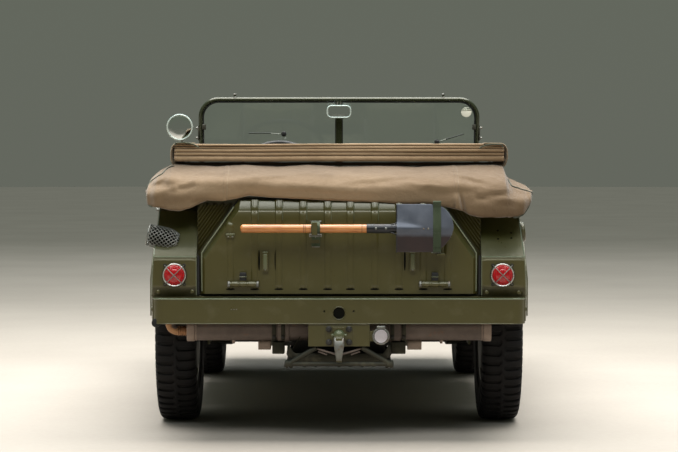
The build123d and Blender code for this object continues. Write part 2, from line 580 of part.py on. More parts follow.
# ---- rear axle: gearbox, swinging arms, brake plates ------------------------------
ra = [box(-120, 120, -1309, -905, 290, 470), cyl((-130, REAR_AXLE_Y, WHEEL_Z), (130, REAR_AXLE_Y, WHEEL_Z), 85), cyl((-500, -650, 310), (500, -650, 310), 20)]
for s in (1, -1):
    ra.append(cyl((s * 80, REAR_AXLE_Y, WHEEL_Z), (s * 588, REAR_AXLE_Y, WHEEL_Z), 30))
    ra.append(cyl((s * 588, REAR_AXLE_Y, WHEEL_Z), (s * 594, REAR_AXLE_Y, WHEEL_Z), 150))
    ra.append(prism_x([(REAR_AXLE_Y - 24, 334), (REAR_AXLE_Y - 24, 386), (REAR_AXLE_Y + 24, 386), (-850, 330), (-640, 326), (-640, 296), (-850, 296)], s * 470 - 20, s * 470 + 20))
    ra.append(cyl((s * 450, REAR_AXLE_Y, WHEEL_Z), (s * 530, REAR_AXLE_Y, WHEEL_Z), 46))
node("rear_axle", solids_over(fuse(ra) - faxle - engine - floor - tub, 20000))

# ---- knuckles --------------------------------------------------------------------------
kn = fuse([
    cyl((KINGPIN_X, FRONT_AXLE_Y, KP_BOT + 6), (KINGPIN_X, FRONT_AXLE_Y, KP_TOP - 6), 22),
    cyl((KINGPIN_X - 14, FRONT_AXLE_Y, WHEEL_Z), (590, FRONT_AXLE_Y, WHEEL_Z), 52),
    cyl((588, FRONT_AXLE_Y, WHEEL_Z), (594, FRONT_AXLE_Y, WHEEL_Z), 150),
    box(KINGPIN_X - 30, KINGPIN_X, FRONT_AXLE_Y - 130, FRONT_AXLE_Y, 318, 332),
])
node("knuckle_right", kn)
node("knuckle_left", flip(kn))

# ---- wheels, built at x = 0 with the outer side towards +X ------------------------------
HALF_W = TYRE_W / 2
# radius, distance in from the tyre's side, from the bead out to the tread
TYRE_SIDE = ((TYRE_BEAD_R, HALF_W - RIM_HALF + 4), (TYRE_BEAD_R + 16, HALF_W - RIM_HALF - 4), (250, 8), (290, 0), (325, 6), (346, 16), (TYRE_R - 2, 28), (TYRE_R, 44))
tyre = spun([(r, d - HALF_W) for r, d in TYRE_SIDE] + [(r, HALF_W - d) for r, d in reversed(TYRE_SIDE)])
# radius, place along the axle
RIM_BAND = (
    (217, -64), (217, -68), (201, -66), (196, -56), (180, -24), (180, 6), (194, 30), (196, 56),
    (201, 66), (217, 68), (217, 64), (TYRE_BEAD_R, 56), (TYRE_BEAD_R, -56))
RIM_DISC = ((0, 8), (70, 8), (95, 22), (130, 26), (160, 16), (182, -4), (182, 4), (163, 24), (131, 34), (92, 30), (67, 16), (0, 16))
disc = spun(RIM_DISC)
for k in range(8):
    a = math.radians(k * 45)
    disc = disc - cyl((-20, 148 * math.cos(a), 148 * math.sin(a)), (60, 148 * math.cos(a), 148 * math.sin(a)), 13)
hub = cyl((9, 0, 0), (50, 0, 0), 38)
hub = hub.fillet(6, hub.edges().filter_by(GeomType.CIRCLE).group_by(Axis.X)[-1])
rim = fuse([spun(RIM_BAND), disc, cyl((-56, 0, 0), (9, 0, 0), 138), hub])
# name, x, y
WHEELS = (("fl", -TRACK_HALF, FRONT_AXLE_Y), ("fr", TRACK_HALF, FRONT_AXLE_Y), ("rl", -TRACK_HALF, REAR_AXLE_Y), ("rr", TRACK_HALF, REAR_AXLE_Y))
for name, x, y in WHEELS:
    for kind, shape in (("tyre_", tyre), ("rim_", rim)):
        node(kind + name, Pos(x, y, WHEEL_Z) * (shape if x > 0 else flip(shape)))

# ---- steering wheel ----------------------------------------------------------------------
ca, sa = math.cos(math.radians(COLUMN_ANGLE)), math.sin(math.radians(COLUMN_ANGLE))
up = Vector(0, -ca, sa)
C = Vector(*STEER_C)
plane = Plane(origin=C, x_dir=(1, 0, 0), z_dir=up)
steer = [plane * Torus(STEER_R - 11, 11), cyl(tuple(C - up * 55), tuple(C - up * 5), 26), cyl(tuple(C - up * 8), tuple(C + up * 6), 34)]
for a in (90, 210, 330):
    d = plane.x_dir * math.cos(math.radians(a)) + plane.y_dir * math.sin(math.radians(a))
    steer.append(cyl(tuple(C - up * 8), tuple(C + d * (STEER_R - 14)), 7))
node("steering_wheel", fuse(steer))

# ---- dashboard, column, pedals -------------------------------------------------------------
dash = box(-696, 696, CABIN_FRONT, CABIN_FRONT + 14, 760, 914) + box(-420, -140, 318, 330, 800, 905) + box(60, 380, 318, 330, 850, 905)
dash = dash + tube((-280, 306, 852), (-280, 318, 852), 62, 52) + tube((-195, 308, 852), (-195, 318, 852), 22, 17)
dash = dash + rod([(200, 330, 800), (200, 285, 800), (520, 285, 800), (520, 330, 800)], 9, 20)
dash = dash + cyl(tuple(C - up * 62), tuple(C - up * 790), 20) + box(-310, -250, 305, 344, 700, 762)
for x in (-400, -310, -190):
    dash = dash + rod([(x, 612, 660), (x, 560, 640), (x, 500, 470)], 7, 20)
    dash = dash + prism_x([(505, 450), (490, 500), (484, 498), (499, 448)], x - 30, x + 30)
node("dashboard", solids_over(dash - front - floor, 5000))

# ---- levers on the tunnel ---------------------------------------------------------------------
lev = [box(-85, 85, -120, 100, TUNNEL_TOP, TUNNEL_TOP + 10)]
lev.append(rod([(0, 60, TUNNEL_TOP), (0, 60, 520), (-20, 20, 700)], 8, 20) + Pos(-20, 20, 712) * Sphere(22))
lev.append(rod([(60, 0, TUNNEL_TOP), (60, 0, 520), (70, -20, 610)], 6, 20) + Pos(70, -20, 618) * Sphere(15))
lev.append(rod([(-70, -60, TUNNEL_TOP), (-70, -60, 500), (-70, -150, 590)], 9, 20) + cyl((-70, -150, 590), (-70, -230, 650), 13))
node("control_levers", fuse(lev))

# ---- seats --------------------------------------------------------------------------------------
SEAT_X, SEAT_HALF = 315.0, 200.0
seats, frames = [], []
for s in (1, -1):
    x0, x1 = s * SEAT_X - SEAT_HALF, s * SEAT_X + SEAT_HALF
    cushion = box(x0, x1, -560, -120, 500, 600)
    cushion = cushion.fillet(30, cushion.edges().filter_by(Axis.Z) + cushion.edges().group_by(Axis.Z)[-1])
    back = box(x0, x1, -90, 0, 0, 400)
    back = back.fillet(28, back.edges().filter_by(Axis.Y) + back.edges().group_by(Axis.Y)[-1])
    back = Pos(0, -575, 585) * Rot(12, 0, 0) * back
    seats += list(cushion.solids()) + list((back - cushion).solids())
    for dx in (-165, 165):
        x = s * SEAT_X + dx
        frames.append(rod([(x, -150, FLOOR_Z), (x, -150, 488), (x, -640, 488)], 10, 25) + cyl((x, -540, 488), (x, -540, FLOOR_Z), 10))
    for y in (-150, -600):
        frames.append(cyl((s * SEAT_X - 165, y, 488), (s * SEAT_X + 165, y, 488), 9))
node("seat_frames", fuse(frames) - floor - Compound(children=seats))
bench_c = box(-515, 515, -1204, -830, 501, 600)
bench_c = bench_c.fillet(30, bench_c.edges().filter_by(Axis.Z) + bench_c.edges().group_by(Axis.Z)[-1])
bench_b = box(-515, 515, -1288, -1205, 600, 900)
bench_b = bench_b.fillet(28, bench_b.edges().filter_by(Axis.Y) + bench_b.edges().group_by(Axis.Y)[0])
seats += list((bench_c - floor - tub).solids()) + list((bench_b - floor - tub - rear).solids())
node("seats", Compound(children=seats))

# ---- windscreen ------------------------------------------------------------------------------------
def screen_y(z):
    return SCREEN_AXIS_Y + (SCREEN_TOP_Y - SCREEN_AXIS_Y) * (z - SCREEN_FOOT) / (SCREEN_TOP - SCREEN_FOOT)


H = SCREEN_HALF
wframe = rod([(-H, SCREEN_AXIS_Y, SCREEN_FOOT), (-H, SCREEN_TOP_Y, SCREEN_TOP), (H, SCREEN_TOP_Y, SCREEN_TOP), (H, SCREEN_AXIS_Y, SCREEN_FOOT)], SCREEN_TUBE_R, SCREEN_CORNER_R)
wframe = wframe + box(-670, 670, 387, 413, 962, 988) + box(-H, H, 387, 413, 988, 1004)
wframe = wframe + prism_x([(screen_y(985) - 7, 985), (screen_y(985) + 7, 985), (SCREEN_TOP_Y + 7, SCREEN_TOP), (SCREEN_TOP_Y - 7, SCREEN_TOP)], -15, 15)
for s in (1, -1):
    wframe = wframe + cyl((s * 490, SCREEN_TOP_Y, SCREEN_TOP), (s * 490, SCREEN_TOP_Y, SCREEN_TOP + 26), 6)
node("windshield_frame", wframe)
glass = prism_y(both([(H - 8, 1003), (H - 8, SCREEN_TOP - 8, SCREEN_CORNER_R - 8)]), 200, 500)
glass = glass & prism_x([(screen_y(980) - 2.5, 980), (screen_y(980) + 2.5, 980), (screen_y(1400) + 2.5, 1400), (screen_y(1400) - 2.5, 1400)], -700, 700)
node("windshield_glass", glass - wframe)
MIRROR_X, MIRROR_Z, MIRROR_R = -750.0, 1222.0, 61.4
my, ay = screen_y(MIRROR_Z), screen_y(1080)
mirrors = box(-56.5, 56.5, 292, 300, 1265, 1325) + cyl((0, 300, 1300), (0, 336, 1320), 5)
mirrors = mirrors + cyl((MIRROR_X, my - 26, MIRROR_Z), (MIRROR_X, my - 8, MIRROR_Z), MIRROR_R) + cyl((MIRROR_X, my - 10, 1180), (-H - 5, ay, 1080), 5)
mirrors = mirrors + box(-H - 20, -H - 9, ay - 14, ay + 14, 1064, 1096)
node("mirrors", mirrors - wframe)

# ---- folded canvas top --------------------------------------------------------------------------------
PIVOT_Y, PIVOT_Z = -905.0, 955.0
bows = []
for s in (1, -1):
    bows.append(cyl((s * 712, PIVOT_Y, PIVOT_Z), (s * 712, -1180, 1085), 11))
    bows.append(cyl((s * 690, PIVOT_Y, PIVOT_Z), (s * 690, -1200, 1060), 9))
    bows.append(cyl((s * 680, PIVOT_Y, PIVOT_Z), (s * 740, PIVOT_Y, PIVOT_Z), 13))
    bows.append(box(s * 712 - 8, s * 712 + 8, -925, -885, 920, 955))
node("top_bows", solids_over(fuse(bows) - side_left - side_right - rear - floor - tub, 5000))
stack = prism_x([(-1565, 1069, 20), (-1565, 1140, 20), (-1150, 1120, 14), (-1150, 1075, 14)], -649, 649)
node("top_stack", stack)
drape = prism_x([(-1775, 960, 20), (-1755, 1040, 40), (-1560, 1066, 20), (-1300, 1066, 10), (-1300, 941, 4), (-1560, 941, 4), (-1600, 938, 6), (-1775, 938, 6)], -745, 745)
node("top_drape", drape - rear)
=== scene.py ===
import math
import random

import bmesh
import bpy
from mathutils import Matrix, Vector, noise
from mathutils.bvhtree import BVHTree


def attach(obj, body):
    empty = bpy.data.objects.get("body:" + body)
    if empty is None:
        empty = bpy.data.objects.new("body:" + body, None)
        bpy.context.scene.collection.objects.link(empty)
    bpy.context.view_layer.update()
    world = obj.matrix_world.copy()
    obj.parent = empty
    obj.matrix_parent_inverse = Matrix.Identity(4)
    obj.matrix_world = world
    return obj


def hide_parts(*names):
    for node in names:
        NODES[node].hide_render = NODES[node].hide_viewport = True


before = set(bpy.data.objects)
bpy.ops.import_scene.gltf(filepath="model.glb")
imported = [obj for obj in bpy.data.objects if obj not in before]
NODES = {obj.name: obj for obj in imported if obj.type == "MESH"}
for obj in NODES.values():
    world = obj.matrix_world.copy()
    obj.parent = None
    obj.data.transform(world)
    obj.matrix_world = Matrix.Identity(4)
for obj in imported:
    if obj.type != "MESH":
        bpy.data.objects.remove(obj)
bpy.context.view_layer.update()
random.seed(7)
X, Y, Z = Vector((1, 0, 0)), Vector((0, 1, 0)), Vector((0, 0, 1))


# ------------------------------------------------------------------
# materials
# ------------------------------------------------------------------
class Mat:
    """A small builder for node materials, in object coordinates in metres."""

    def __init__(self, name):
        self.m = bpy.data.materials.new(name)
        self.m.use_nodes = True
        self.t = self.m.node_tree
        self.b = self.t.nodes["Principled BSDF"]
        self.co = self.node("ShaderNodeTexCoord").outputs["Object"]

    def node(self, kind, **values):
        n = self.t.nodes.new(kind)
        for k, v in values.items():
            setattr(n, k, v)
        return n

    def link(self, a, b):
        self.t.links.new(a, b)

    def set(self, **values):
        for k, v in values.items():
            self.b.inputs[k.replace("_", " ")].default_value = v

    def stretched(self, s):
        n = self.node("ShaderNodeMapping")
        self.link(self.co, n.inputs["Vector"])
        n.inputs["Scale"].default_value = s
        return n.outputs["Vector"]

    def noise(self, scale, detail=4.0, rough=0.55, co=None, warp=0.0):
        n = self.node("ShaderNodeTexNoise")
        self.link(co or self.co, n.inputs["Vector"])
        n.inputs["Scale"].default_value = scale
        n.inputs["Detail"].default_value = detail
        n.inputs["Roughness"].default_value = rough
        n.inputs["Distortion"].default_value = warp
        return n.outputs["Fac"]

    def wave(self, scale, direction="X", distortion=0.0, co=None):
        n = self.node("ShaderNodeTexWave", bands_direction=direction)
        self.link(co or self.co, n.inputs["Vector"])
        n.inputs["Scale"].default_value = scale
        n.inputs["Distortion"].default_value = distortion
        return n.outputs["Fac"]

    def ramp(self, fac, stops):
        n = self.node("ShaderNodeValToRGB")
        self.link(fac, n.inputs["Fac"])
        e = n.color_ramp.elements
        while len(e) < len(stops):
            e.new(0.5)
        for q, (p, c) in zip(e, stops):
            q.position = p
            q.color = (*c, 1) if len(c) == 3 else c
        return n.outputs["Color"]

    def grey(self, fac, lo, hi, a=0.0, b=1.0):
        n = self.node("ShaderNodeMapRange")
        self.link(fac, n.inputs["Value"])
        for k, v in (("From Min", lo), ("From Max", hi), ("To Min", a), ("To Max", b)):
            n.inputs[k].default_value = v
        return n.outputs["Result"]

    def math(self, op, a, b):
        n = self.node("ShaderNodeMath", operation=op)
        for i, v in enumerate((a, b)):
            if isinstance(v, (int, float)):
                n.inputs[i].default_value = v
            else:
                self.link(v, n.inputs[i])
        return n.outputs[0]

    def mix(self, fac, a, b):
        n = self.node("ShaderNodeMix", data_type="RGBA")
        for sock, v in ((n.inputs[0], fac), (n.inputs[6], a), (n.inputs[7], b)):
            if isinstance(v, (int, float)):
                sock.default_value = v
            elif isinstance(v, (tuple, list)):
                sock.default_value = (*v, 1)
            else:
                self.link(v, sock)
        return n.outputs[2]

    def edge(self, radius=0.004, lo=0.02, hi=0.25):
        """1 on sharp outer and inner edges, 0 on flats."""
        bev = self.node("ShaderNodeBevel", samples=4)
        bev.inputs["Radius"].default_value = radius
        geo = self.node("ShaderNodeNewGeometry")
        dot = self.node("ShaderNodeVectorMath", operation="DOT_PRODUCT")
        self.link(bev.outputs["Normal"], dot.inputs[0])
        self.link(geo.outputs["Normal"], dot.inputs[1])
        return self.grey(self.math("SUBTRACT", 1.0, dot.outputs["Value"]), lo, hi)

    def bump(self, height, strength, distance, under=None):
        n = self.node("ShaderNodeBump")
        self.link(height, n.inputs["Height"])
        n.inputs["Strength"].default_value = strength
        n.inputs["Distance"].default_value = distance
        if under is not None:
            self.link(under, n.inputs["Normal"])
        return n.outputs["Normal"]

    def soft_edges(self, radius):
        n = self.node("ShaderNodeBevel", samples=4)
        n.inputs["Radius"].default_value = radius
        return n.outputs["Normal"]

    def out(self, colour=None, rough=None, normal=None, coat_normal=None):
        if colour is not None:
            self.link(colour, self.b.inputs["Base Color"])
        if rough is not None:
            self.link(rough, self.b.inputs["Roughness"])
        if normal is not None:
            self.link(normal, self.b.inputs["Normal"])
        return self.m


def paint(name, base, second, worn, rough=(0.30, 0.44), edge_r=0.004, coat=0.25, wear=0.35, dust=0.12, spec=0.42, gloss=0.12, roll=None):
    k = Mat(name)
    big = k.noise(2.3, 3)
    mid = k.noise(17, 5, 0.6)
    fine = k.noise(260, 2)
    colour = k.mix(k.grey(big, 0.35, 0.65), base, second)
    # painted reflection: what faces the sky is tinted greener, as the sky would tint it, and what stands upright stays
    # browner, as the ground would tint it
    up = k.node("ShaderNodeSeparateXYZ")
    k.link(k.node("ShaderNodeNewGeometry").outputs["Normal"], up.inputs[0])
    colour = k.mix(k.grey(up.outputs[2], 0.10, 0.60), colour, (base[0] * 0.78, base[1] * 0.95, base[2] * 1.05))
    colour = k.mix(k.math("MULTIPLY", k.grey(mid, 0.55, 0.8), dust), colour, (0.20, 0.18, 0.12))
    scuff = k.math("MULTIPLY", k.edge(edge_r), k.grey(k.noise(38, 4, 0.7), 0.42, 0.62))
    colour = k.mix(k.math("MULTIPLY", scuff, wear), colour, worn)
    r = k.grey(k.math("ADD", k.math("MULTIPLY", mid, 0.7), k.math("MULTIPLY", fine, 0.3)), 0.3, 0.7, *rough)
    n = k.bump(fine, 0.06, 0.0006, k.bump(k.noise(5.5, 2), 0.10, 0.004, k.soft_edges(edge_r)))
    k.set(Specular_IOR_Level=spec, Specular_Tint=(1.0, 0.95, 0.72, 1.0), Coat_Weight=coat, Coat_Roughness=gloss)
    if roll:
        # a fold that is rolled over a good height: the shine turns over it gradually
        z0, fold, z1, lean = roll
        place = k.node("ShaderNodeSeparateXYZ")
        k.link(k.co, place.inputs[0])
        near = k.math("MULTIPLY", k.grey(place.outputs[2], fold - 0.013, fold - 0.008), k.grey(place.outputs[2], fold + 0.008, fold + 0.013, 1.0, 0.0))
        n = k.mix(near, n, k.node("ShaderNodeNewGeometry").outputs["Normal"])
        a = k.math("MINIMUM", k.math("MAXIMUM", k.math("SUBTRACT", place.outputs[2], z0), 0.0), z1 - z0)
        b = k.math("MINIMUM", k.math("MAXIMUM", k.math("SUBTRACT", place.outputs[2], fold), 0.0), z1 - fold)
        height = k.math("SUBTRACT", k.math("MULTIPLY", b, lean), k.math("MULTIPLY", k.math("MULTIPLY", a, a), lean / (2 * (z1 - z0))))
        n = k.bump(height, 1.0, 1.0, n)
        k.link(n, k.b.inputs["Coat Normal"])
    return k.out(colour, r, n)


def canvas(name, base, light, dark, thread=0.0016, upright_light=None, top=None):
    k = Mat(name)
    s = 2 * math.pi / (20 * thread)
    both_ways = k.node("ShaderNodeCombineXYZ")
    sep = k.node("ShaderNodeSeparateXYZ")
    k.link(k.co, sep.inputs[0])
    k.link(sep.outputs[0], both_ways.inputs[0])
    k.link(k.math("ADD", sep.outputs[1], sep.outputs[2]), both_ways.inputs[1])
    weave = k.math("MULTIPLY", k.wave(s, "X", 0.4, both_ways.outputs[0]), k.wave(s, "Y", 0.4, both_ways.outputs[0]))
    big = k.noise(3.2, 5, 0.6)
    cloud = k.noise(14, 6, 0.65)
    colour = k.mix(k.grey(big, 0.35, 0.68), base, light)
    colour = k.mix(k.math("MULTIPLY", k.grey(cloud, 0.5, 0.78), 0.55), colour, dark)
    slub = k.noise(60, 3, 0.6, k.stretched((1, 9, 9)))
    colour = k.mix(k.math("MULTIPLY", k.grey(slub, 0.5, 0.75), 0.22), colour, light)
    colour = k.mix(k.math("MULTIPLY", k.grey(weave, 0.0, 0.35, 1.0, 0.0), 0.30), colour, dark)
    # painted shade: what faces down is darkened in patches
    down = k.node("ShaderNodeSeparateXYZ")
    k.link(k.node("ShaderNodeNewGeometry").outputs["Normal"], down.inputs[0])
    underside_shade = k.math("MULTIPLY", k.grey(down.outputs[2], -0.40, -0.92), k.grey(cloud, 0.2, 0.7, 0.7, 1.0))
    colour = k.mix(k.math("MULTIPLY", underside_shade, 0.34), colour, tuple(c * 0.42 for c in dark))
    if upright_light:
        # painted light: what stands upright in the middle is lightened
        upright = k.math("MULTIPLY", k.grey(down.outputs[2], -0.25, 0.40, 1.0, 0.0), k.grey(k.math("ABSOLUTE", sep.outputs[0], 0.0), 0.40, 0.62, 1.0, 0.0))
        colour = k.mix(k.math("MULTIPLY", upright, 0.75), colour, upright_light)
    if top:
        # dust lies on what faces the sky
        colour = k.mix(k.math("MULTIPLY", k.grey(down.outputs[2], 0.80, 0.96), k.grey(cloud, 0.25, 0.70, 1.0, 0.72)), colour, top)
    # painted shadow: darker where the bundle is tucked in under the folded roof
    tucked = k.math("MULTIPLY", k.grey(k.math("ADD", sep.outputs[2], k.math("MULTIPLY", cloud, 0.012)), 1.006, 1.058), k.grey(sep.outputs[2], 1.0690, 1.0705, 1.0, 0.0))
    colour = k.mix(k.math("MULTIPLY", tucked, 0.80), colour, tuple(c * 0.62 for c in dark))
    # painted shade: the right-hand side is darkened
    old = k.math("MULTIPLY", k.grey(sep.outputs[0], 0.10, 0.70), k.grey(big, 0.3, 0.6, 0.6, 1.0))
    colour = k.mix(k.math("MULTIPLY", old, 0.85), colour, dark)
    n = k.bump(weave, 0.5, 0.0006, k.bump(k.noise(34, 5, 0.6, warp=0.6), 0.45, 0.004, k.bump(k.noise(9, 3, 0.5, warp=0.8), 0.5, 0.014)))
    k.set(Specular_IOR_Level=0.18, Sheen_Weight=0.25, Sheen_Roughness=0.5)
    return k.out(colour, k.grey(cloud, 0.3, 0.7, 0.86, 0.97), n)


def rubber(name, base, dusty, lo=0.62, hi=0.85, amount=0.5):
    k = Mat(name)
    cloud = k.noise(9, 6, 0.65)
    fine = k.noise(300, 2)
    colour = k.mix(k.math("MULTIPLY", k.grey(cloud, 0.45, 0.75), amount), base, dusty)
    colour = k.mix(k.math("MULTIPLY", k.edge(0.004), 0.35), colour, dusty)
    n = k.bump(fine, 0.15, 0.0006, k.bump(k.noise(60, 4), 0.15, 0.0015, k.soft_edges(0.002)))
    k.set(Specular_IOR_Level=0.22)
    return k.out(colour, k.grey(cloud, 0.3, 0.7, lo, hi), n)


def metal(name, base, second, rust=None, lo=0.28, hi=0.5, metallic=1.0, edge_r=0.003, rust_lo=0.52, scratch=0.3):
    k = Mat(name)
    cloud = k.noise(12, 6, 0.65)
    fine = k.noise(180, 3, 0.7, k.stretched((0.35, 1, 1)))
    colour = k.mix(k.grey(cloud, 0.35, 0.65), base, second)
    if rust:
        colour = k.mix(k.grey(k.noise(26, 8, 0.7, warp=0.5), rust_lo, rust_lo + 0.16), colour, rust)
    colour = k.mix(k.math("MULTIPLY", k.edge(edge_r), scratch), colour, tuple(min(1, c * 1.9 + 0.03) for c in base))
    k.set(Metallic=metallic, Specular_IOR_Level=0.45)
    n = k.bump(fine, 0.12, 0.0005, k.bump(cloud, 0.12, 0.002, k.soft_edges(edge_r)))
    return k.out(colour, k.grey(k.math("ADD", k.math("MULTIPLY", cloud, 0.6), k.math("MULTIPLY", fine, 0.4)), 0.3, 0.7, lo, hi), n)


def wood(name):
    k = Mat(name)
    along = k.stretched((1.4, 16, 16))
    grain = k.noise(9, 6, 0.62, along, 0.5)
    rings = k.noise(26, 3, 0.6, k.stretched((0.6, 30, 30)))
    colour = k.ramp(grain, [(0.28, (0.20, 0.055, 0.010)), (0.45, (0.40, 0.135, 0.026)), (0.62, (0.52, 0.205, 0.046)), (0.8, (0.30, 0.090, 0.018))])
    colour = k.mix(k.math("MULTIPLY", k.grey(rings, 0.52, 0.7), 0.45), colour, (0.28, 0.09, 0.02))
    colour = k.mix(k.math("MULTIPLY", k.grey(k.noise(7, 3), 0.5, 0.75), 0.35), colour, (0.62, 0.30, 0.11))
    n = k.bump(rings, 0.15, 0.0006)
    k.set(Specular_IOR_Level=0.5, Coat_Weight=0.5, Coat_Roughness=0.15)
    return k.out(colour, k.grey(grain, 0.3, 0.7, 0.30, 0.46), n)


def clear_glass(name, tint, rough=0.02, trans=1.0):
    k = Mat(name)
    smear = k.noise(7, 4, 0.6)
    colour = k.mix(k.math("MULTIPLY", k.grey(smear, 0.5, 0.8), 0.3), tint, tuple(c * 0.93 for c in tint))
    k.set(Transmission_Weight=trans, IOR=1.45, Specular_IOR_Level=0.5)
    return k.out(colour, k.grey(smear, 0.4, 0.8, rough, rough + 0.05))


def lens(name, base, second, rough=0.12):
    k = Mat(name)
    ribs = k.wave(2 * math.pi / (20 * 0.007), "X")
    colour = k.mix(k.math("MULTIPLY", ribs, 0.45), base, second)
    n = k.bump(ribs, 0.35, 0.0014, k.bump(k.noise(90, 2), 0.08, 0.0005))
    k.set(Specular_IOR_Level=0.42, Coat_Weight=0.40, Coat_Roughness=0.06)
    return k.out(colour, k.grey(k.noise(20, 3), 0.3, 0.7, rough, rough + 0.08), n)


OLIVE = paint("olive_paint", (0.0440, 0.0372, 0.0078), (0.0510, 0.0428, 0.0098), (0.120, 0.120, 0.065), rough=(0.26, 0.40), coat=0.5, gloss=0.24)
OLIVE_LID = paint("olive_lid", (0.0440, 0.0372, 0.0078), (0.0510, 0.0428, 0.0098), (0.120, 0.120, 0.065), rough=(0.26, 0.40), coat=0.5, gloss=0.24, roll=(0.842, 0.884, 0.912, 0.463))
# a lighter, glossier copy of the olive paint laid along folds and edges: painted highlight lines
EDGE_HIGHLIGHT = paint("edge_highlight_paint", (0.105, 0.118, 0.068), (0.150, 0.160, 0.105), (0.32, 0.33, 0.26), rough=(0.10, 0.22), edge_r=0.001, coat=1.0, wear=0.4)
# a darker copy of the olive paint for the windscreen frame and the top's bows: painted shade
SCREEN_SHADE = paint("screen_shade_paint", (0.0130, 0.0165, 0.0070), (0.0175, 0.0210, 0.0095), (0.070, 0.080, 0.050), rough=(0.20, 0.34), coat=0.35)
PALE = paint("pale_trim", (0.30, 0.33, 0.29), (0.38, 0.41, 0.36), (0.5, 0.52, 0.48), rough=(0.2, 0.32), edge_r=0.001, coat=0.5)
OLIVE_IN = paint("olive_inner", (0.024, 0.025, 0.010), (0.030, 0.031, 0.013), (0.08, 0.085, 0.05), rough=(0.5, 0.68), coat=0.0, dust=0.3)
# a lighter copy of the olive paint for small raised fittings: painted highlight
OLIVE_HIGHLIGHT = paint("olive_highlight_paint", (0.075, 0.080, 0.040), (0.095, 0.100, 0.055), (0.24, 0.25, 0.18), rough=(0.25, 0.4), edge_r=0.002, wear=0.6)
BLACK_PAINT = paint("underbody_black", (0.012, 0.012, 0.010), (0.018, 0.016, 0.012), (0.07, 0.06, 0.05), rough=(0.5, 0.7), coat=0.0, dust=0.35)
TAN = canvas("tan_canvas", (0.172, 0.113, 0.062), (0.210, 0.143, 0.083), (0.106, 0.066, 0.034), upright_light=(0.300, 0.203, 0.116))
TAN_ROOF = canvas("roof_canvas", (0.300, 0.200, 0.112), (0.360, 0.248, 0.148), (0.190, 0.120, 0.062), top=(0.116, 0.086, 0.054))
TAN_EDGE = canvas("tan_edges", (0.25, 0.18, 0.105), (0.32, 0.245, 0.155), (0.155, 0.108, 0.060))
SEAT = canvas("seat_canvas", (0.075, 0.074, 0.035), (0.105, 0.103, 0.055), (0.042, 0.042, 0.020), 0.0018)
WEB = canvas("green_webbing", (0.040, 0.056, 0.028), (0.064, 0.082, 0.046), (0.024, 0.034, 0.018), 0.0022)
PIPE = canvas("green_piping", (0.060, 0.066, 0.040), (0.10, 0.105, 0.07), (0.035, 0.038, 0.024), 0.0022)
TYRE = rubber("tyre_rubber", (0.0065, 0.0058, 0.0062), (0.030, 0.025, 0.022))
BLACK_RUBBER = rubber("black_rubber", (0.010, 0.010, 0.010), (0.035, 0.033, 0.03), 0.45, 0.65, 0.3)
BLACK_GLOSS = rubber("black_gloss", (0.008, 0.008, 0.008), (0.02, 0.02, 0.02), 0.15, 0.3, 0.3)
MUFFLER = metal("muffler_steel", (0.155, 0.118, 0.098), (0.115, 0.088, 0.074), (0.19, 0.10, 0.06), 0.55, 0.75, 0.35, rust_lo=0.58)
CAP = metal("muffler_caps", (0.30, 0.225, 0.18), (0.24, 0.18, 0.145), (0.26, 0.14, 0.085), 0.5, 0.7, 0.35, rust_lo=0.6)
ELBOW = metal("rusty_pipe", (0.40, 0.215, 0.10), (0.30, 0.15, 0.07), (0.20, 0.08, 0.035), 0.45, 0.65, 0.5)
STEEL = metal("bright_steel", (0.62, 0.62, 0.60), (0.50, 0.50, 0.48), None, 0.22, 0.38)
DULL = metal("dull_steel", (0.22, 0.22, 0.20), (0.15, 0.15, 0.135), (0.14, 0.085, 0.05), 0.38, 0.58, 0.8)


def blade_steel(name):
    """Blued steel, with the lower half painted darker and browner: painted shade and a painted reflection of the
    ground.
    """
    k = Mat(name)
    sep = k.node("ShaderNodeSeparateXYZ")
    k.link(k.co, sep.inputs[0])
    cloud = k.noise(14, 6, 0.65)
    z = k.math("ADD", sep.outputs[2], k.math("MULTIPLY", k.noise(9, 4), 0.016))
    colour = k.mix(k.grey(cloud, 0.35, 0.65), (0.060, 0.068, 0.088), (0.082, 0.090, 0.112))
    # painted shade and ground reflection on the lower half of the blade
    low = k.mix(k.grey(cloud, 0.35, 0.65), (0.019, 0.012, 0.013), (0.030, 0.018, 0.018))
    colour = k.mix(k.grey(z, 0.792, 0.806, 1.0, 0.0), colour, low)
    colour = k.mix(k.math("MULTIPLY", k.edge(0.003), 0.5), colour, (0.18, 0.19, 0.21))
    fine = k.noise(200, 3, 0.7, k.stretched((1, 1, 0.2)))
    k.set(Metallic=0.35, Specular_IOR_Level=0.45)
    n = k.bump(fine, 0.15, 0.0005, k.bump(cloud, 0.2, 0.003))
    return k.out(colour, k.grey(cloud, 0.3, 0.7, 0.34, 0.52), n)


BLADE = blade_steel("shovel_steel")
GUARD = metal("guard_steel", (0.16, 0.165, 0.150), (0.30, 0.30, 0.28), (0.06, 0.045, 0.032), 0.26, 0.42, 0.8, rust_lo=0.56)
OILY = metal("oily_iron", (0.028, 0.027, 0.026), (0.045, 0.042, 0.038), (0.035, 0.024, 0.015), 0.35, 0.6, 0.6)
ALLOY = metal("cast_alloy", (0.24, 0.235, 0.22), (0.16, 0.155, 0.145), (0.10, 0.085, 0.065), 0.45, 0.7, 0.7)
WOOD = wood("varnished_wood")
GLASS = clear_glass("window_glass", (0.90, 0.95, 0.92))
MIRROR = metal("mirror_glass", (0.86, 0.88, 0.86), (0.84, 0.86, 0.84), None, 0.02, 0.05, 1.0, scratch=0.0)
RED = lens("red_lens", (0.42, 0.004, 0.008), (0.16, 0.001, 0.003))
AMBER = lens("amber_lens", (0.85, 0.26, 0.02), (0.5, 0.12, 0.01))
CLEAR = lens("clear_lens", (0.30, 0.32, 0.31), (0.12, 0.13, 0.13), 0.06)
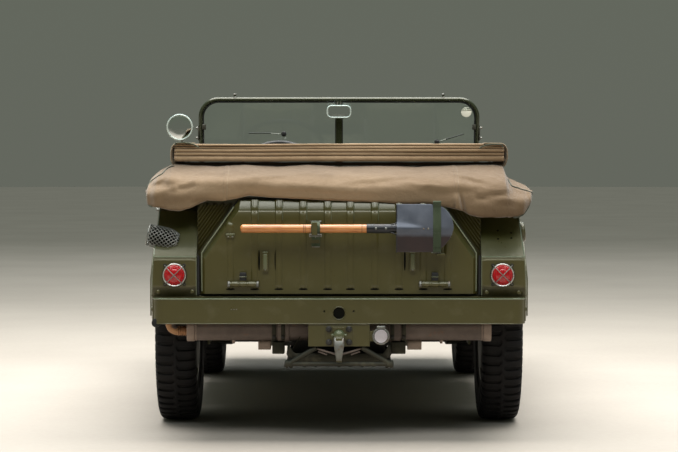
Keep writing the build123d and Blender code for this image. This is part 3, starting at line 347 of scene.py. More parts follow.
WHITE = paint("pale_disc", (0.62, 0.60, 0.50), (0.56, 0.54, 0.45), (0.4, 0.38, 0.3), rough=(0.4, 0.5), edge_r=0.001)
# near-black for slots, holes and the insides of hollow parts: painted shade standing in for their depth
RECESS_SHADE = paint("recess_shade_paint", (0.0030, 0.0030, 0.0025), (0.0045, 0.0040, 0.0032), (0.012, 0.012, 0.012), rough=(0.8, 0.95), coat=0.0, dust=0.0, spec=0.08)
SOCKET = metal("blackened_socket", (0.014, 0.015, 0.017), (0.022, 0.023, 0.027), (0.03, 0.022, 0.018), 0.25, 0.42, 0.4, scratch=0.6)

NODE_MATERIALS = {
    OLIVE: "front_body side_left side_right rear_body rear_bumper front_bumper hood door_left door_right lid_fittings tow_hitch dashboard floor_pan rim_fl rim_fr rim_rl rim_rr seat_frames",
    OLIVE_IN: "rear_tub",
    OLIVE_LID: "engine_lid",
    SCREEN_SHADE: "windshield_frame top_bows",
    OILY: "engine",
    MUFFLER: "exhaust",
    GUARD: "exhaust_guard",
    WOOD: "shovel_handle",
    BLADE: "shovel_blade",
    GLASS: "windshield_glass",
    BLACK_GLOSS: "steering_wheel",
    BLACK_PAINT: "skid_frame front_axle rear_axle knuckle_left knuckle_right control_levers",
    TYRE: "tyre_fl tyre_fr tyre_rl tyre_rr",
    SEAT: "seats front_seats rear_bench",
    TAN: "top_stack top_drape",
    RED: "rear_lamps",
    CLEAR: "headlamps",
    STEEL: "mirrors",
}
for m, names in NODE_MATERIALS.items():
    for n in names.split():
        if n not in NODES:
            continue
        o = NODES[n]
        o.data.materials.clear()
        o.data.materials.append(m)
        for p in o.data.polygons:
            p.material_index = 0


# ------------------------------------------------------------------
# mesh helpers
# ------------------------------------------------------------------
def link(obj, body, mat=None):
    bpy.context.scene.collection.objects.link(obj)
    if mat is not None:
        obj.data.materials.append(mat)
    if body:
        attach(obj, body)
    return obj


def mesh_from(name, verts, faces, mat, body, smooth=True, angle=None):
    me = bpy.data.meshes.new(name)
    me.from_pydata([tuple(v) for v in verts], [], faces)
    me.validate()
    me.update()
    if smooth:
        for p in me.polygons:
            p.use_smooth = True
        if angle is not None:
            me.set_sharp_from_angle(angle=math.radians(angle))
    return link(bpy.data.objects.new(name, me), body, mat)


def from_bm(name, bm, mat, body, angle=35, at=None):
    bmesh.ops.recalc_face_normals(bm, faces=bm.faces)
    me = bpy.data.meshes.new(name)
    bm.to_mesh(me)
    bm.free()
    for p in me.polygons:
        p.use_smooth = True
    me.set_sharp_from_angle(angle=math.radians(angle))
    o = bpy.data.objects.new(name, me)
    if at is not None:
        o.location = at
    return link(o, body, mat)


def frame_of(axis):
    a = Vector(axis).normalized()
    u = a.cross(Z if abs(a.z) < 0.9 else X).normalized()
    return u, a.cross(u).normalized(), a


def ring_faces(bm, rings, close_u=True, cap0=True, cap1=True):
    """rings is a list of lists of bmesh verts, joined in order."""
    for r0, r1 in zip(rings, rings[1:]):
        n = len(r0)
        for i in range(n if close_u else n - 1):
            j = (i + 1) % n
            bm.faces.new((r0[i], r0[j], r1[j], r1[i]))
    if cap0:
        bm.faces.new(list(reversed(rings[0])))
    if cap1:
        bm.faces.new(rings[-1])


def lathe(bm, origin, axis, profile, segs=24, caps=(True, True)):
    """profile is (radius, distance along the axis) from one end to the other."""
    u, v, a = frame_of(axis)
    rings = []
    for r, d in profile:
        c = Vector(origin) + a * d
        rings.append([bm.verts.new(c + (u * math.cos(t) + v * math.sin(t)) * r) for t in (2 * math.pi * i / segs for i in range(segs))])
    ring_faces(bm, rings, True, *caps)


def sweep(bm, pts, section, up=None, closed=False, caps=True, twist=None):
    """Carries a section of (across, along up) points along a line."""
    pts = [Vector(p) for p in pts]
    n = len(pts)
    tan = []
    for i in range(n):
        a = pts[(i - 1) % n] if closed or i > 0 else pts[i]
        b = pts[(i + 1) % n] if closed or i < n - 1 else pts[i]
        tan.append((b - a).normalized())
    up0 = Vector(up) if up is not None else (Z if abs(tan[0].z) < 0.9 else X)
    rings = []
    nrm = (up0 - tan[0] * up0.dot(tan[0])).normalized()
    for i, p in enumerate(pts):
        ref = up0 if up is not None else nrm
        nrm = (ref - tan[i] * ref.dot(tan[i])).normalized()
        side = tan[i].cross(nrm)
        rings.append([bm.verts.new(p + side * s + nrm * t) for s, t in section])
    if closed:
        rings.append(rings[0])
        ring_faces(bm, rings, True, False, False)
    else:
        ring_faces(bm, rings, True, caps, caps)


def circle(r, n=10):
    return [(r * math.cos(2 * math.pi * i / n), r * math.sin(2 * math.pi * i / n)) for i in range(n)]


def tape(w, t):
    """A flat strip's section with softened edges."""
    a, b = w / 2, t / 2
    return [(-a, -b * 0.4), (-a + t * 0.4, -b), (a - t * 0.4, -b), (a, -b * 0.4), (a, b * 0.4), (a - t * 0.4, b), (-a + t * 0.4, b), (-a, b * 0.4)]


def curve_pts(pts, bend, steps=6):
    """A bent line with rounded corners."""
    pts = [Vector(p) for p in pts]
    out = [pts[0]]
    for a, b, c in zip(pts, pts[1:], pts[2:]):
        u, v = (a - b), (c - b)
        k = min(bend, u.length * 0.49, v.length * 0.49)
        p0, p1 = b + u.normalized() * k, b + v.normalized() * k
        for i in range(steps + 1):
            t = i / steps
            out.append(p0.lerp(b, t).lerp(b.lerp(p1, t), t))
    out.append(pts[-1])
    return out


def block(bm, x0, x1, y0, y1, z0, z1, bevel=0.002, segs=2, matrix=None):
    """A box with rounded edges."""
    made = bmesh.ops.create_cube(bm, size=1.0)
    vs = made["verts"]
    for v in vs:
        v.co = Vector((x0 + (v.co.x + 0.5) * (x1 - x0), y0 + (v.co.y + 0.5) * (y1 - y0), z0 + (v.co.z + 0.5) * (z1 - z0)))
    if bevel > 0:
        es = {e for v in vs for e in v.link_edges}
        got = bmesh.ops.bevel(bm, geom=list(es), offset=min(bevel, 0.45 * min(x1 - x0, y1 - y0, z1 - z0)), segments=segs, affect="EDGES", profile=0.5)
        vs = list({v for f in got["faces"] for v in f.verts} | {v for v in vs if v.is_valid})
    if matrix is not None:
        for v in vs:
            v.co = matrix @ v.co


def bolt(bm, at, axis, r=0.008, h=0.006, washer=True):
    """A hexagon head with a chamfered top on a washer."""
    u, v, a = frame_of(axis)
    at = Vector(at)
    base = 0.0
    if washer:
        lathe(bm, at, a, [(r * 1.45, -0.001), (r * 1.45, 0.0012), (r * 1.3, 0.0018), (0.0005, 0.0018)], 16, (True, False))
        base = 0.0016
    rings = []
    for rr, d in ((r, base - 0.001), (r, base + h * 0.8), (r * 0.86, base + h), (r * 0.5, base + h)):
        rings.append([bm.verts.new(at + a * d + (u * math.cos(t) + v * math.sin(t)) * rr) for t in (math.pi / 3 * i + 0.2 for i in range(6))])
    ring_faces(bm, rings)


def rivet(bm, at, axis, r=0.006, h=0.003):
    lathe(bm, at, axis, [(r, -0.001), (r, 0.0004), (r * 0.9, h * 0.55), (r * 0.6, h * 0.88), (r * 0.2, h)], 12)


# ------------------------------------------------------------------
# tyres with lugs
# ------------------------------------------------------------------
TYRE_AXLE_Z, TRACK, REAR_Y, FRONT_Y = 0.361, 0.6575, -1.010, 1.050
# radius, half width, from the bead outwards: the carcass under the lugs
CARCASS = [(0.203, 0.0645), (0.207, 0.0665), (0.215, 0.0685), (0.221, 0.0690), (0.226, 0.0715), (0.245, 0.0775), (0.268, 0.0808), (0.290, 0.0818), (0.308, 0.0806), (0.322, 0.0780), (0.334, 0.0738), (0.3425, 0.0676), (0.3480, 0.0570), (0.3505, 0.0420), (0.3515, 0.0220), (0.3518, 0.0)]
LUG_COUNT = 54
# place across the tyre, radius of the lug's top, radius of its foot
LUG_LINE = [(0.0085, 0.3609, 0.349), (0.026, 0.3608, 0.349), (0.046, 0.3602, 0.347), (0.0610, 0.3585, 0.344), (0.0705, 0.3545, 0.338), (0.0772, 0.3465, 0.331), (0.0806, 0.3360, 0.325), (0.0818, 0.3240, 0.316)]


def tyre_mesh():
    bm = bmesh.new()
    prof = [(r, -a) for r, a in CARCASS] + [(r, a) for r, a in reversed(CARCASS[:-1])]
    prof += [(0.2035, 0.050), (0.2035, -0.050)]
    segs = 144
    rings = [[bm.verts.new((a, r * math.sin(t), r * math.cos(t))) for t in (2 * math.pi * i / segs for i in range(segs))] for r, a in prof]
    rings.append(rings[0])
    ring_faces(bm, rings, True, False, False)
    for r0, w in ((0.236, 0.0016), (0.300, 0.0014)):  # two raised rings on each side
        a0 = 0.0752 if r0 < 0.26 else 0.0812
        for s in (1, -1):
            q = [(r0 - 0.004, a0 - 0.002), (r0 - 0.002, a0 + w), (r0 + 0.002, a0 + w), (r0 + 0.004, a0 - 0.002)]
            rr = [[bm.verts.new((s * a, r * math.sin(t), r * math.cos(t))) for t in (2 * math.pi * i / segs for i in range(segs))] for r, a in q]
            rr.append(rr[0])
            ring_faces(bm, rr, True, False, False)
    step = 2 * math.pi / LUG_COUNT
    for s in (1, -1):
        for k in range(LUG_COUNT):
            mid = (k + (0.0 if s > 0 else 0.5)) * step
            rings = []
            for i, (a, top, foot) in enumerate(LUG_LINE):
                lean = 0.010 * (a / 0.08) * step / 0.116 * 0.0
                w_top = (0.0112 + 0.0016 * a / 0.08) / top
                w_foot = w_top + 0.0016 / top
                ring = []
                for ang, r in ((-w_foot, foot), (-w_top, top - 0.0012), (-w_top * 0.85, top), (w_top * 0.85, top), (w_top, top - 0.0012), (w_foot, foot)):
                    t = mid + ang + lean
                    ring.append(bm.verts.new((s * a, r * math.sin(t), r * math.cos(t))))
                rings.append(ring)
            ring_faces(bm, rings)
    rib = []
    n = LUG_COUNT * 4
    for i in range(n):
        t = 2 * math.pi * i / n
        shift = 0.0050 * (1 if (i % 4) < 2 else -1)
        rib.append([bm.verts.new((a + shift, r * math.sin(t), r * math.cos(t))) for a, r in ((-0.0115, 0.349), (-0.0100, 0.3600), (-0.0085, 0.3609), (0.0085, 0.3609), (0.0100, 0.3600), (0.0115, 0.349))])
    rib.append(rib[0])
    ring_faces(bm, rib, True, False, False)
    return bm


def make_tyres():
    bm = tyre_mesh()
    bmesh.ops.recalc_face_normals(bm, faces=bm.faces)
    me = bpy.data.meshes.new("tyre")
    bm.to_mesh(me)
    bm.free()
    for p in me.polygons:
        p.use_smooth = True
    me.set_sharp_from_angle(angle=math.radians(32))
    me.materials.append(TYRE)
    for w, x, y, turn in (("fl", -TRACK, FRONT_Y, 0.3), ("fr", TRACK, FRONT_Y, 1.1), ("rl", -TRACK, REAR_Y, 0.0), ("rr", TRACK, REAR_Y, 0.7)):
        data = me if w == "fl" else me.copy()
        turned = data.copy()
        turned.transform(Matrix.Rotation(turn, 4, "X"))
        o = bpy.data.objects.new("tread_tyre_" + w, turned)
        o.location = (x, y, TYRE_AXLE_Z)
        bpy.context.scene.collection.objects.link(o)
        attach(o, "wheel_" + w)
        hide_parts("tyre_" + w)
        b = bmesh.new()
        s = 1 if x > 0 else -1
        for k in range(5):  # wheel nuts and the valve
            t = 2 * math.pi * k / 5 + turn
            bolt(b, (x + s * 0.0295, y + 0.0825 * math.sin(t), TYRE_AXLE_Z + 0.0825 * math.cos(t)), X * s, 0.0105, 0.014)
        t = turn + 0.6
        c = Vector((x + s * 0.022, y + 0.186 * math.sin(t), TYRE_AXLE_Z + 0.186 * math.cos(t)))
        inward = Vector((s * 0.9, -0.4 * math.sin(t), -0.4 * math.cos(t)))
        lathe(b, c, inward, [(0.004, -0.01), (0.004, 0.014), (0.0052, 0.015), (0.0052, 0.026), (0.003, 0.028)], 10)
        lathe(b, (x + s * 0.049, y, TYRE_AXLE_Z), X * s, [(0.030, -0.002), (0.030, 0.002), (0.026, 0.005), (0.012, 0.0062), (0.002, 0.0064)], 24)
        from_bm("wheel_nuts_" + w, b, OLIVE_HIGHLIGHT, "wheel_" + w)


make_tyres()


# ------------------------------------------------------------------
# canvas: smooth tables, the folded roof and the bundle behind it
# ------------------------------------------------------------------
def smooth(table, x):
    """Reads a table of (place, value) rows with eased steps between them."""
    if x <= table[0][0]:
        return table[0][1]
    for (x0, v0), (x1, v1) in zip(table, table[1:]):
        if x <= x1:
            t = (x - x0) / (x1 - x0)
            return v0 + (v1 - v0) * t * t * (3 - 2 * t)
    return table[-1][1]


def line(table, x):
    if x <= table[0][0]:
        return table[0][1]
    for (x0, v0), (x1, v1) in zip(table, table[1:]):
        if x <= x1:
            return v0 + (v1 - v0) * (x - x0) / (x1 - x0)
    return table[-1][1]


def n3(x, y, z):
    return noise.noise(Vector((x, y, z)))


def grid_mesh(name, pts, rows, cols, mat, body, thick=0.0, keep_faces=None):
    """pts is rows * cols points; the sheet's faces run between them."""
    faces = []
    for i in range(rows - 1):
        for j in range(cols - 1):
            faces.append((i * cols + j, (i + 1) * cols + j, (i + 1) * cols + j + 1, i * cols + j + 1))
    o = mesh_from(name, pts, faces, mat, None)
    if thick:
        m = o.modifiers.new("thickness", "SOLIDIFY")
        m.thickness = thick
        m.offset = 0.0
    return o


# lower and upper outline of the bundle seen from behind: place across, height
BUNDLE_LOW = [(-0.747, 0.950), (-0.742, 0.915), (-0.730, 0.900), (-0.690, 0.892), (-0.650, 0.884), (-0.610, 0.881), (-0.570, 0.891), (-0.535, 0.909), (-0.505, 0.920), (-0.450, 0.918), (-0.415, 0.925), (-0.345, 0.940), (-0.270, 0.934), (0.020, 0.920), (0.225, 0.910), (0.360, 0.907), (0.405, 0.896), (0.450, 0.889), (0.475, 0.880), (0.500, 0.866), (0.545, 0.857), (0.600, 0.855), (0.684, 0.858), (0.706, 0.868), (0.722, 0.887), (0.738, 0.918), (0.749, 0.950)]
BUNDLE_HIGH = [(-0.747, 0.966), (-0.744, 0.985), (-0.734, 1.008), (-0.700, 1.040), (-0.648, 1.066), (-0.600, 1.062), (-0.480, 1.056), (-0.370, 1.062), (-0.240, 1.054), (-0.120, 1.060), (0.0, 1.052), (0.140, 1.056), (0.300, 1.052), (0.460, 1.058), (0.600, 1.064), (0.640, 1.060), (0.652, 1.022), (0.668, 1.006), (0.700, 0.992), (0.730, 0.977), (0.745, 0.963), (0.749, 0.955)]
# how far back the bundle's belly reaches
BUNDLE_BACK = [(-0.749, 1.66), (-0.735, 1.730), (-0.700, 1.762), (-0.620, 1.772), (-0.300, 1.774), (0.3, 1.774), (0.430, 1.776), (0.620, 1.786), (0.700, 1.770), (0.735, 1.735), (0.749, 1.66)]
BUNDLE_FRONT = [(-0.749, 1.56), (-0.735, 1.44), (-0.690, 1.36), (-0.600, 1.33), (0.6, 1.33), (0.690, 1.36), (0.735, 1.44), (0.749, 1.56)]


def bundle_section(x):
    """(y, z) corners of the folded canvas at x, from the hidden front of its top, over the back, to the hidden front of its underside."""
    lo, hi = line(BUNDLE_LOW, x), line(BUNDLE_HIGH, x)
    yb, yf = -smooth(BUNDLE_BACK, x), -smooth(BUNDLE_FRONT, x)
    h = hi - lo
    wing = min(max((abs(x) - 0.50) / 0.12, 0), 1)
    knee = 0.50 + 0.06 * math.sin(x * 5.1 + 0.7)
    top_y = -1.575 + 0.02 * wing
    top_y = max(top_y, yb + 0.35 * (yf - yb))
    rest = max(0.944, lo + 0.006)
    rest = min(rest, hi - 0.006)
    lip = 0.012
    pts = [
        (yf, hi - 0.004),
        (top_y, hi),
        (top_y + (yb - top_y) * 0.45, hi - h * 0.16),
        (top_y + (yb - top_y) * 0.82, hi - h * (0.34 + 0.1 * (knee - 0.5))),
        (yb + 0.004, hi - h * (knee + 0.08)),
        (yb, hi - h * 0.75),
        (yb + 0.003, lo + h * 0.10),
        (yb + 0.007, lo),
        (yb + 0.007 + lip, lo + 0.004),
        (yb + 0.012 + lip, lo + min(0.035, h * 0.3) * (1 - wing) + 0.012 * wing),
        (yb + 0.060 + 0.05 * wing, rest),
        (-1.55 if yf > -1.5 else (yb + yf) / 2, rest + 0.002),
        (yf, rest + 0.004),
    ]
    return pts


def resample(pts, n, passes=2):
    """Rounds a line's corners and spaces n points evenly along it."""
    q = [Vector((a, b)) for a, b in pts]
    for _ in range(passes):
        r = [q[0]]
        for a, b in zip(q, q[1:]):
            r += [a.lerp(b, 0.25), a.lerp(b, 0.75)]
        r.append(q[-1])
        q = r
    d = [0.0]
    for a, b in zip(q, q[1:]):
        d.append(d[-1] + (b - a).length)
    out, k = [], 0
    for i in range(n):
        t = d[-1] * i / (n - 1)
        while k < len(d) - 2 and d[k + 1] < t:
            k += 1
        f = (t - d[k]) / max(d[k + 1] - d[k], 1e-9)
        out.append(q[k].lerp(q[k + 1], min(max(f, 0), 1)))
    return out


BUNDLE_ROWS, BUNDLE_COLS = 320, 84


def bundle_x(i):
    t = i / (BUNDLE_ROWS - 1) * 2 - 1
    return 0.749 * (t + 0.06 * math.sin(math.pi * t)) if abs(t) < 1 else math.copysign(0.749, t)


# creases: place across, height, rise along the length, half length, depth
CREASES = [(-0.500, 1.030, -0.10, 0.16, 0.0060), (-0.300, 1.012, 0.06, 0.20, 0.0055), (-0.080, 1.026, -0.08, 0.18, 0.0045), (0.150, 1.004, 0.10, 0.20, 0.0055), (0.330, 0.978, -0.12, 0.16, 0.0060), (0.500, 1.010, -0.22, 0.14, 0.0070), (0.560, 0.950, 0.18, 0.12, 0.0080), (0.620, 0.925, -0.10, 0.09, 0.0070), (-0.620, 0.975, 0.28, 0.10, 0.0075), (-0.560, 0.935, 0.10, 0.12, 0.0060), (-0.200, 0.966, 0.05, 0.22, 0.0040), (0.050, 0.958, -0.05, 0.20, 0.0045), (0.680, 0.970, -0.45, 0.06, 0.0060), (-0.690, 1.000, 0.55, 0.05, 0.0050)]


def bundle_point(x, s, j):
    """Adds the creases to a smooth point of the bundle."""
    v = j / (BUNDLE_COLS - 1)
    y, z = s.x, s.y
    back = min(max((-y - 1.60) / 0.12, 0), 1) * (1 if v < 0.62 else 0.25)
    wing = min(max((abs(x) - 0.42) / 0.22, 0), 1)
    out = 0.0
    out += 0.014 * n3(x * 2.2, z * 11 + 3, 1.7)
    out += 0.0085 * n3(x * 5.5 + z * 9, z * 17, 5.2) * (0.5 + 0.8 * wing)
    # long shallow creases that run along the bundle and fade out
    for cx, cz, rise, length, depth in CREASES:
        u = (x - cx) / length
        if abs(u) < 1:
            h = z - cz - rise * (x - cx)
            fade = (1 - u * u) ** 2
            out += fade * depth * (math.exp(-((h / 0.006) ** 2)) - 0.8 * math.exp(-(((h + 0.013) / 0.009) ** 2)))
    out += 0.0075 * wing * n3(x * 9 + 31 * (z - 0.95) * (1 if x > 0 else -1), z * 12 + y * 6, 8.4)
    fold = n3(x * 7.5 - z * 16, z * 20, 2.9)
    out += 0.0045 * (1 - abs(fold) * 2.2) * wing
    # the soft ridge along the back, and the crease under it on the right
    ridge = 0.992 - 0.020 * math.sin((x + 0.35) * 3.2) - 0.030 * max(0, x - 0.45) / 0.3
    out += 0.008 * math.exp(-(((z - ridge) / 0.016) ** 2))
    out -= 0.007 * math.exp(-(((z - ridge + 0.030) / 0.012) ** 2)) * (0.4 + 0.6 * wing)
    # tuck above the right end of the lid
    tuck = x - 0.470 - 0.20 * (0.925 - z)
    deep = min(max((0.955 - z) / 0.03, 0), 1)
    out -= 0.016 * math.exp(-((tuck / 0.007) ** 2)) * deep
    out += 0.010 * math.exp(-(((tuck + 0.020) / 0.012) ** 2)) * deep
    # gathered pull lines at the left seam
    pull = math.sin((x + 0.62) * 60 + z * 35) * math.exp(-(((x + 0.56) / 0.05) ** 2))
    out += 0.0022 * pull
    dx = 0.003 * n3(x * 6, z * 8, y * 6 + 4)
    z2 = z + 0.0035 * n3(x * 4.1, y * 5, 9.3) * (1 - back) + 0.002 * n3(x * 19, y * 17, z * 17)
    return Vector((x + dx * (1 if abs(x) < 0.7 else 0), y - out * back, z2))


def make_bundle():
    pts = []
    for i in range(BUNDLE_ROWS):
        x = bundle_x(i)
        for j, s in enumerate(resample(bundle_section(x), BUNDLE_COLS)):
            pts.append(bundle_point(x, s, j))
    o = grid_mesh("folded_side_canvas", pts, BUNDLE_ROWS, BUNDLE_COLS, TAN, None, 0.0024)
    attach(o, "chassis")
    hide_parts("top_drape")
    return o, pts


def sheet_line(pts, row):
    return [pts[row * BUNDLE_COLS + j] for j in range(BUNDLE_COLS)]


def row_at(x):
    return min(range(BUNDLE_ROWS), key=lambda i: abs(bundle_x(i) - x))


bundle, BP = make_bundle()

# sewn seams down the bundle: two raised lines of thread with the lap between them
seams = bmesh.new()
laps = bmesh.new()
for x0, gap in ((-0.436, 0.013), (0.452, 0.012)):
    for k in (-1, 1):
        row = row_at(x0 + k * gap / 2)
        path = [p for p in sheet_line(BP, row)[14:60:1]]
        path = [p + Vector((0, -0.0016, 0.0003)) for p in path]
        sweep(seams, path, [(a * 1.0, b * 0.8) for a, b in circle(0.0011, 6)], up=X)
    row = row_at(x0)
    path = [p + Vector((0, -0.0006, 0.0002)) for p in sheet_line(BP, row)[14:60]]
    sweep(laps, path, [(0.0012, -gap / 2), (0.0019, -gap / 2 + 0.001), (0.0019, gap / 2 - 0.001), (0.0012, gap / 2), (-0.0006, gap / 2), (-0.0006, -gap / 2)], up=X)
from_bm("bundle_seam_thread", seams, TAN_EDGE, "chassis")
from_bm("bundle_seam_laps", laps, TAN, "chassis")

# green piping round the ends of the bundle
piping = bmesh.new()
for side in (-1, 1):
    pts = []
    for i in (range(0, BUNDLE_ROWS) if side < 0 else range(BUNDLE_ROWS - 1, -1, -1)):
        x = bundle_x(i)
        if abs(x) < (0.640 if side < 0 else 0.655):
            break
        rowp = [p for p in sheet_line(BP, i)[10:40]]
        pts.append(max(rowp, key=lambda p: p.z * 1.0 - p.y * 0.25) + Vector((0, -0.002, 0.002)))
    low = []
    for i in (range(0, BUNDLE_ROWS) if side < 0 else range(BUNDLE_ROWS - 1, -1, -1)):
        x = bundle_x(i)
        if abs(x) < (0.715 if side < 0 else 0.668):
            break
        rowp = [p for p in sheet_line(BP, i)[24:60]]
        low.append(min(rowp, key=lambda p: p.z + p.y * 0.2) + Vector((0, -0.002, -0.001)))
    path = list(reversed(low)) + pts
    for _ in range(3):
        path = [path[0]] + [(a + b * 2 + c) / 4 for a, b, c in zip(path, path[1:], path[2:])] + [path[-1]]
    sweep(piping, path, circle(0.0030, 8), up=None)
from_bm("bundle_piping", piping, PIPE, "chassis")


# ---- the roof, folded over and over ---------------------------------
# height of each fold that shows at the back, from the bottom up, with thin gaps between
STACK_HALF, STACK_Z0, FOLDS, FOLD_GAP = 0.645, 1.0715, (0.0185, 0.0125, 0.0105, 0.0085, 0.0065), 0.0027
STACK_LEVELS = []
for h in FOLDS:
    z = STACK_LEVELS[-1] + FOLD_GAP if STACK_LEVELS else STACK_Z0
    STACK_LEVELS += [z, z + h]
STACK_LAYERS = len(STACK_LEVELS)
STACK_Z1 = STACK_LEVELS[-1]
STACK_BACK, STACK_FRONT = -1.561, -1.156


def stack_path(x):
    pts = []
    for k, z in enumerate(STACK_LEVELS):
        back = STACK_BACK + 0.006 * n3(x * 1.3, (k + 1) // 2 * 3.1, 1.0) + (0.004 if (k + 1) // 2 % 2 else 0.0)
        front = STACK_FRONT + 0.010 * n3(x * 1.7, k // 2 * 2.3, 7.0) - (0.010 if k // 2 % 2 else 0)
        ends = [(back, z), (front, z)] if k % 2 else [(front, z), (back, z)]
        steps = 61 if k == STACK_LAYERS - 1 else 13
        for i in range(steps):
            t = i / (steps - 1)
            y = ends[0][0] + (ends[1][0] - ends[0][0]) * t
            sag = 0.0022 * n3(x * 1.9, y * 3.0, (k // 2) * 0.23) + 0.0011 * n3(x * 4.3, y * 4.0, k * 1.9)
            if k == STACK_LAYERS - 1:
                # the top sheet lies slack between the bows
                sag += 0.0034 * n3(x * 2.7, y * 6.0, 3.3) + 0.0012 * n3(x * 9, y * 14, 5.1)
                for y0, bend, width, deep in ((-1.475, 0.020, 0.008, 0.0032), (-1.365, -0.028, 0.011, 0.0038), (-1.235, 0.024, 0.009, 0.0034)):
                    sag -= deep * math.exp(-(((y - y0 - bend * math.sin(x * 2.6 + y0 * 9)) / width) ** 2)) * (0.6 + 0.4 * math.sin(x * 7 + y0 * 20))
                for x0 in (-0.405, -0.020, 0.398):
                    sag -= 0.0032 * math.exp(-(((x - x0 - 0.022 * math.sin(y * 11 + x0 * 5)) / 0.016) ** 2))
            fall = -0.010 * (y - STACK_BACK) / (STACK_FRONT - STACK_BACK) * (k / (STACK_LAYERS - 1))
            pts.append((y, z + sag + fall))
        if k < STACK_LAYERS - 1:
            y_end = pts[-1][0]
            z_a = pts[-1][1]
            pitch = STACK_LEVELS[k + 1] - z
            out = -1 if k % 2 == 0 else 1
            for i in range(1, 7):
                t = math.pi * i / 7
                pts.append((y_end + out * min(pitch * 0.55, 0.006) * math.sin(t), z_a + pitch * 0.5 * (1 - math.cos(t))))
    return pts


def make_stack():
    rows = 110
    pts, cols = [], None
    for i in range(rows):
        x = -STACK_HALF + 2 * STACK_HALF * i / (rows - 1)
        sec = stack_path(x)
        cols = len(sec)
        end = max(0, (abs(x) - 0.61) / 0.035)
        for y, z in sec:
            mid = (STACK_Z0 + STACK_Z1) / 2
            pts.append(Vector((x + 0.003 * n3(z * 40, y * 3, 2.0) * end, y, z + (mid - z) * 0.05 * end * end)))
    o = grid_mesh("folded_roof_canvas", pts, rows, cols, TAN_ROOF, None, 0.0032)
    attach(o, "chassis")
    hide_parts("top_stack")
    return o


roof = make_stack()

# the two bows on each side lean in from their pivots and go into the folded roof
bows = bmesh.new()
for s in (-1, 1):
    sweep(bows, curve_pts([(s * 0.712, -0.905, 0.955), (s * 0.704, -0.955, 0.976), (s * 0.668, -1.060, 1.022), (s * 0.640, -1.130, 1.055), (s * 0.620, -1.200, 1.088)], 0.012, 6), circle(0.0105, 16), up=None)
    sweep(bows, curve_pts([(s * 0.690, -0.905, 0.955), (s * 0.682, -0.975, 0.980), (s * 0.650, -1.080, 1.018), (s * 0.625, -1.150, 1.052), (s * 0.610, -1.210, 1.080)], 0.012, 6), circle(0.0088, 16), up=None)
    lathe(bows, (s * 0.710, -0.905, 0.955), X, [(0.0090, -0.030), (0.0130, -0.028), (0.0130, 0.026), (0.0110, 0.029), (0.0005, 0.030)], 24)
    block(bows, s * 0.712 - 0.0078, s * 0.712 + 0.0078, -0.925, -0.885, 0.9215, 0.955, 0.002, 2)
o = from_bm("top_bow_legs", bows, SCREEN_SHADE, "chassis", 50)
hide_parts("top_bows")


# canvas bands folded round both ends of the roof, and their piping
bands = bmesh.new()
for side in (-1, 1):
    turn = curve_pts([(side * 0.565, -1.535, 1.1425), (side * 0.643, -1.535, 1.1415), (side * 0.6510, -1.530, 1.112), (side * 0.6500, -1.525, 1.084), (side * 0.641, -1.520, 1.066), (side * 0.61, -1.515, 1.060)], 0.016, 6)
    turn = [p + Vector((0.0015 * n3(p.z * 60, 1, side), 0.004 * n3(p.z * 30, 2, side), 0)) for p in turn]
    sweep(bands, turn, tape(0.072, 0.0042), up=None)
from_bm("roof_end_bands", bands, TAN_EDGE, "chassis", 50)
loops = bmesh.new()
for pts in (
    [(-0.6395, -1.574, 1.135), (-0.640, -1.574, 1.1435), (-0.606, -1.575, 1.1465), (-0.567, -1.576, 1.1385), (-0.5476, -1.577, 1.1255)],
    [(0.548, -1.577, 1.1225), (0.566, -1.577, 1.133), (0.592, -1.575, 1.1385), (0.636, -1.574, 1.138), (0.640, -1.573, 1.127)],
):
    sweep(loops, curve_pts(pts, 0.02, 6), circle(0.0027, 8))
from_bm("roof_piping", loops, PIPE, "chassis")


# a soft roll of canvas tucked in under the folded roof, over the bundle, darkened by the canvas's painted shadow band
# there
roll = bmesh.new()
path = [Vector((-0.630 + 1.260 * k / 60, -1.505 + 0.010 * n3(k * 0.21, 2.0, 4.0), 1.0615 + 0.0010 * n3(k * 0.33, 7.0, 1.0))) for k in range(61)]
sweep(roll, path, [(a * 26 * 1.0, b * 7.4) for a, b in circle(0.001, 20)], up=Z)
from_bm("tucked_canvas_roll", roll, TAN, "chassis", 70)


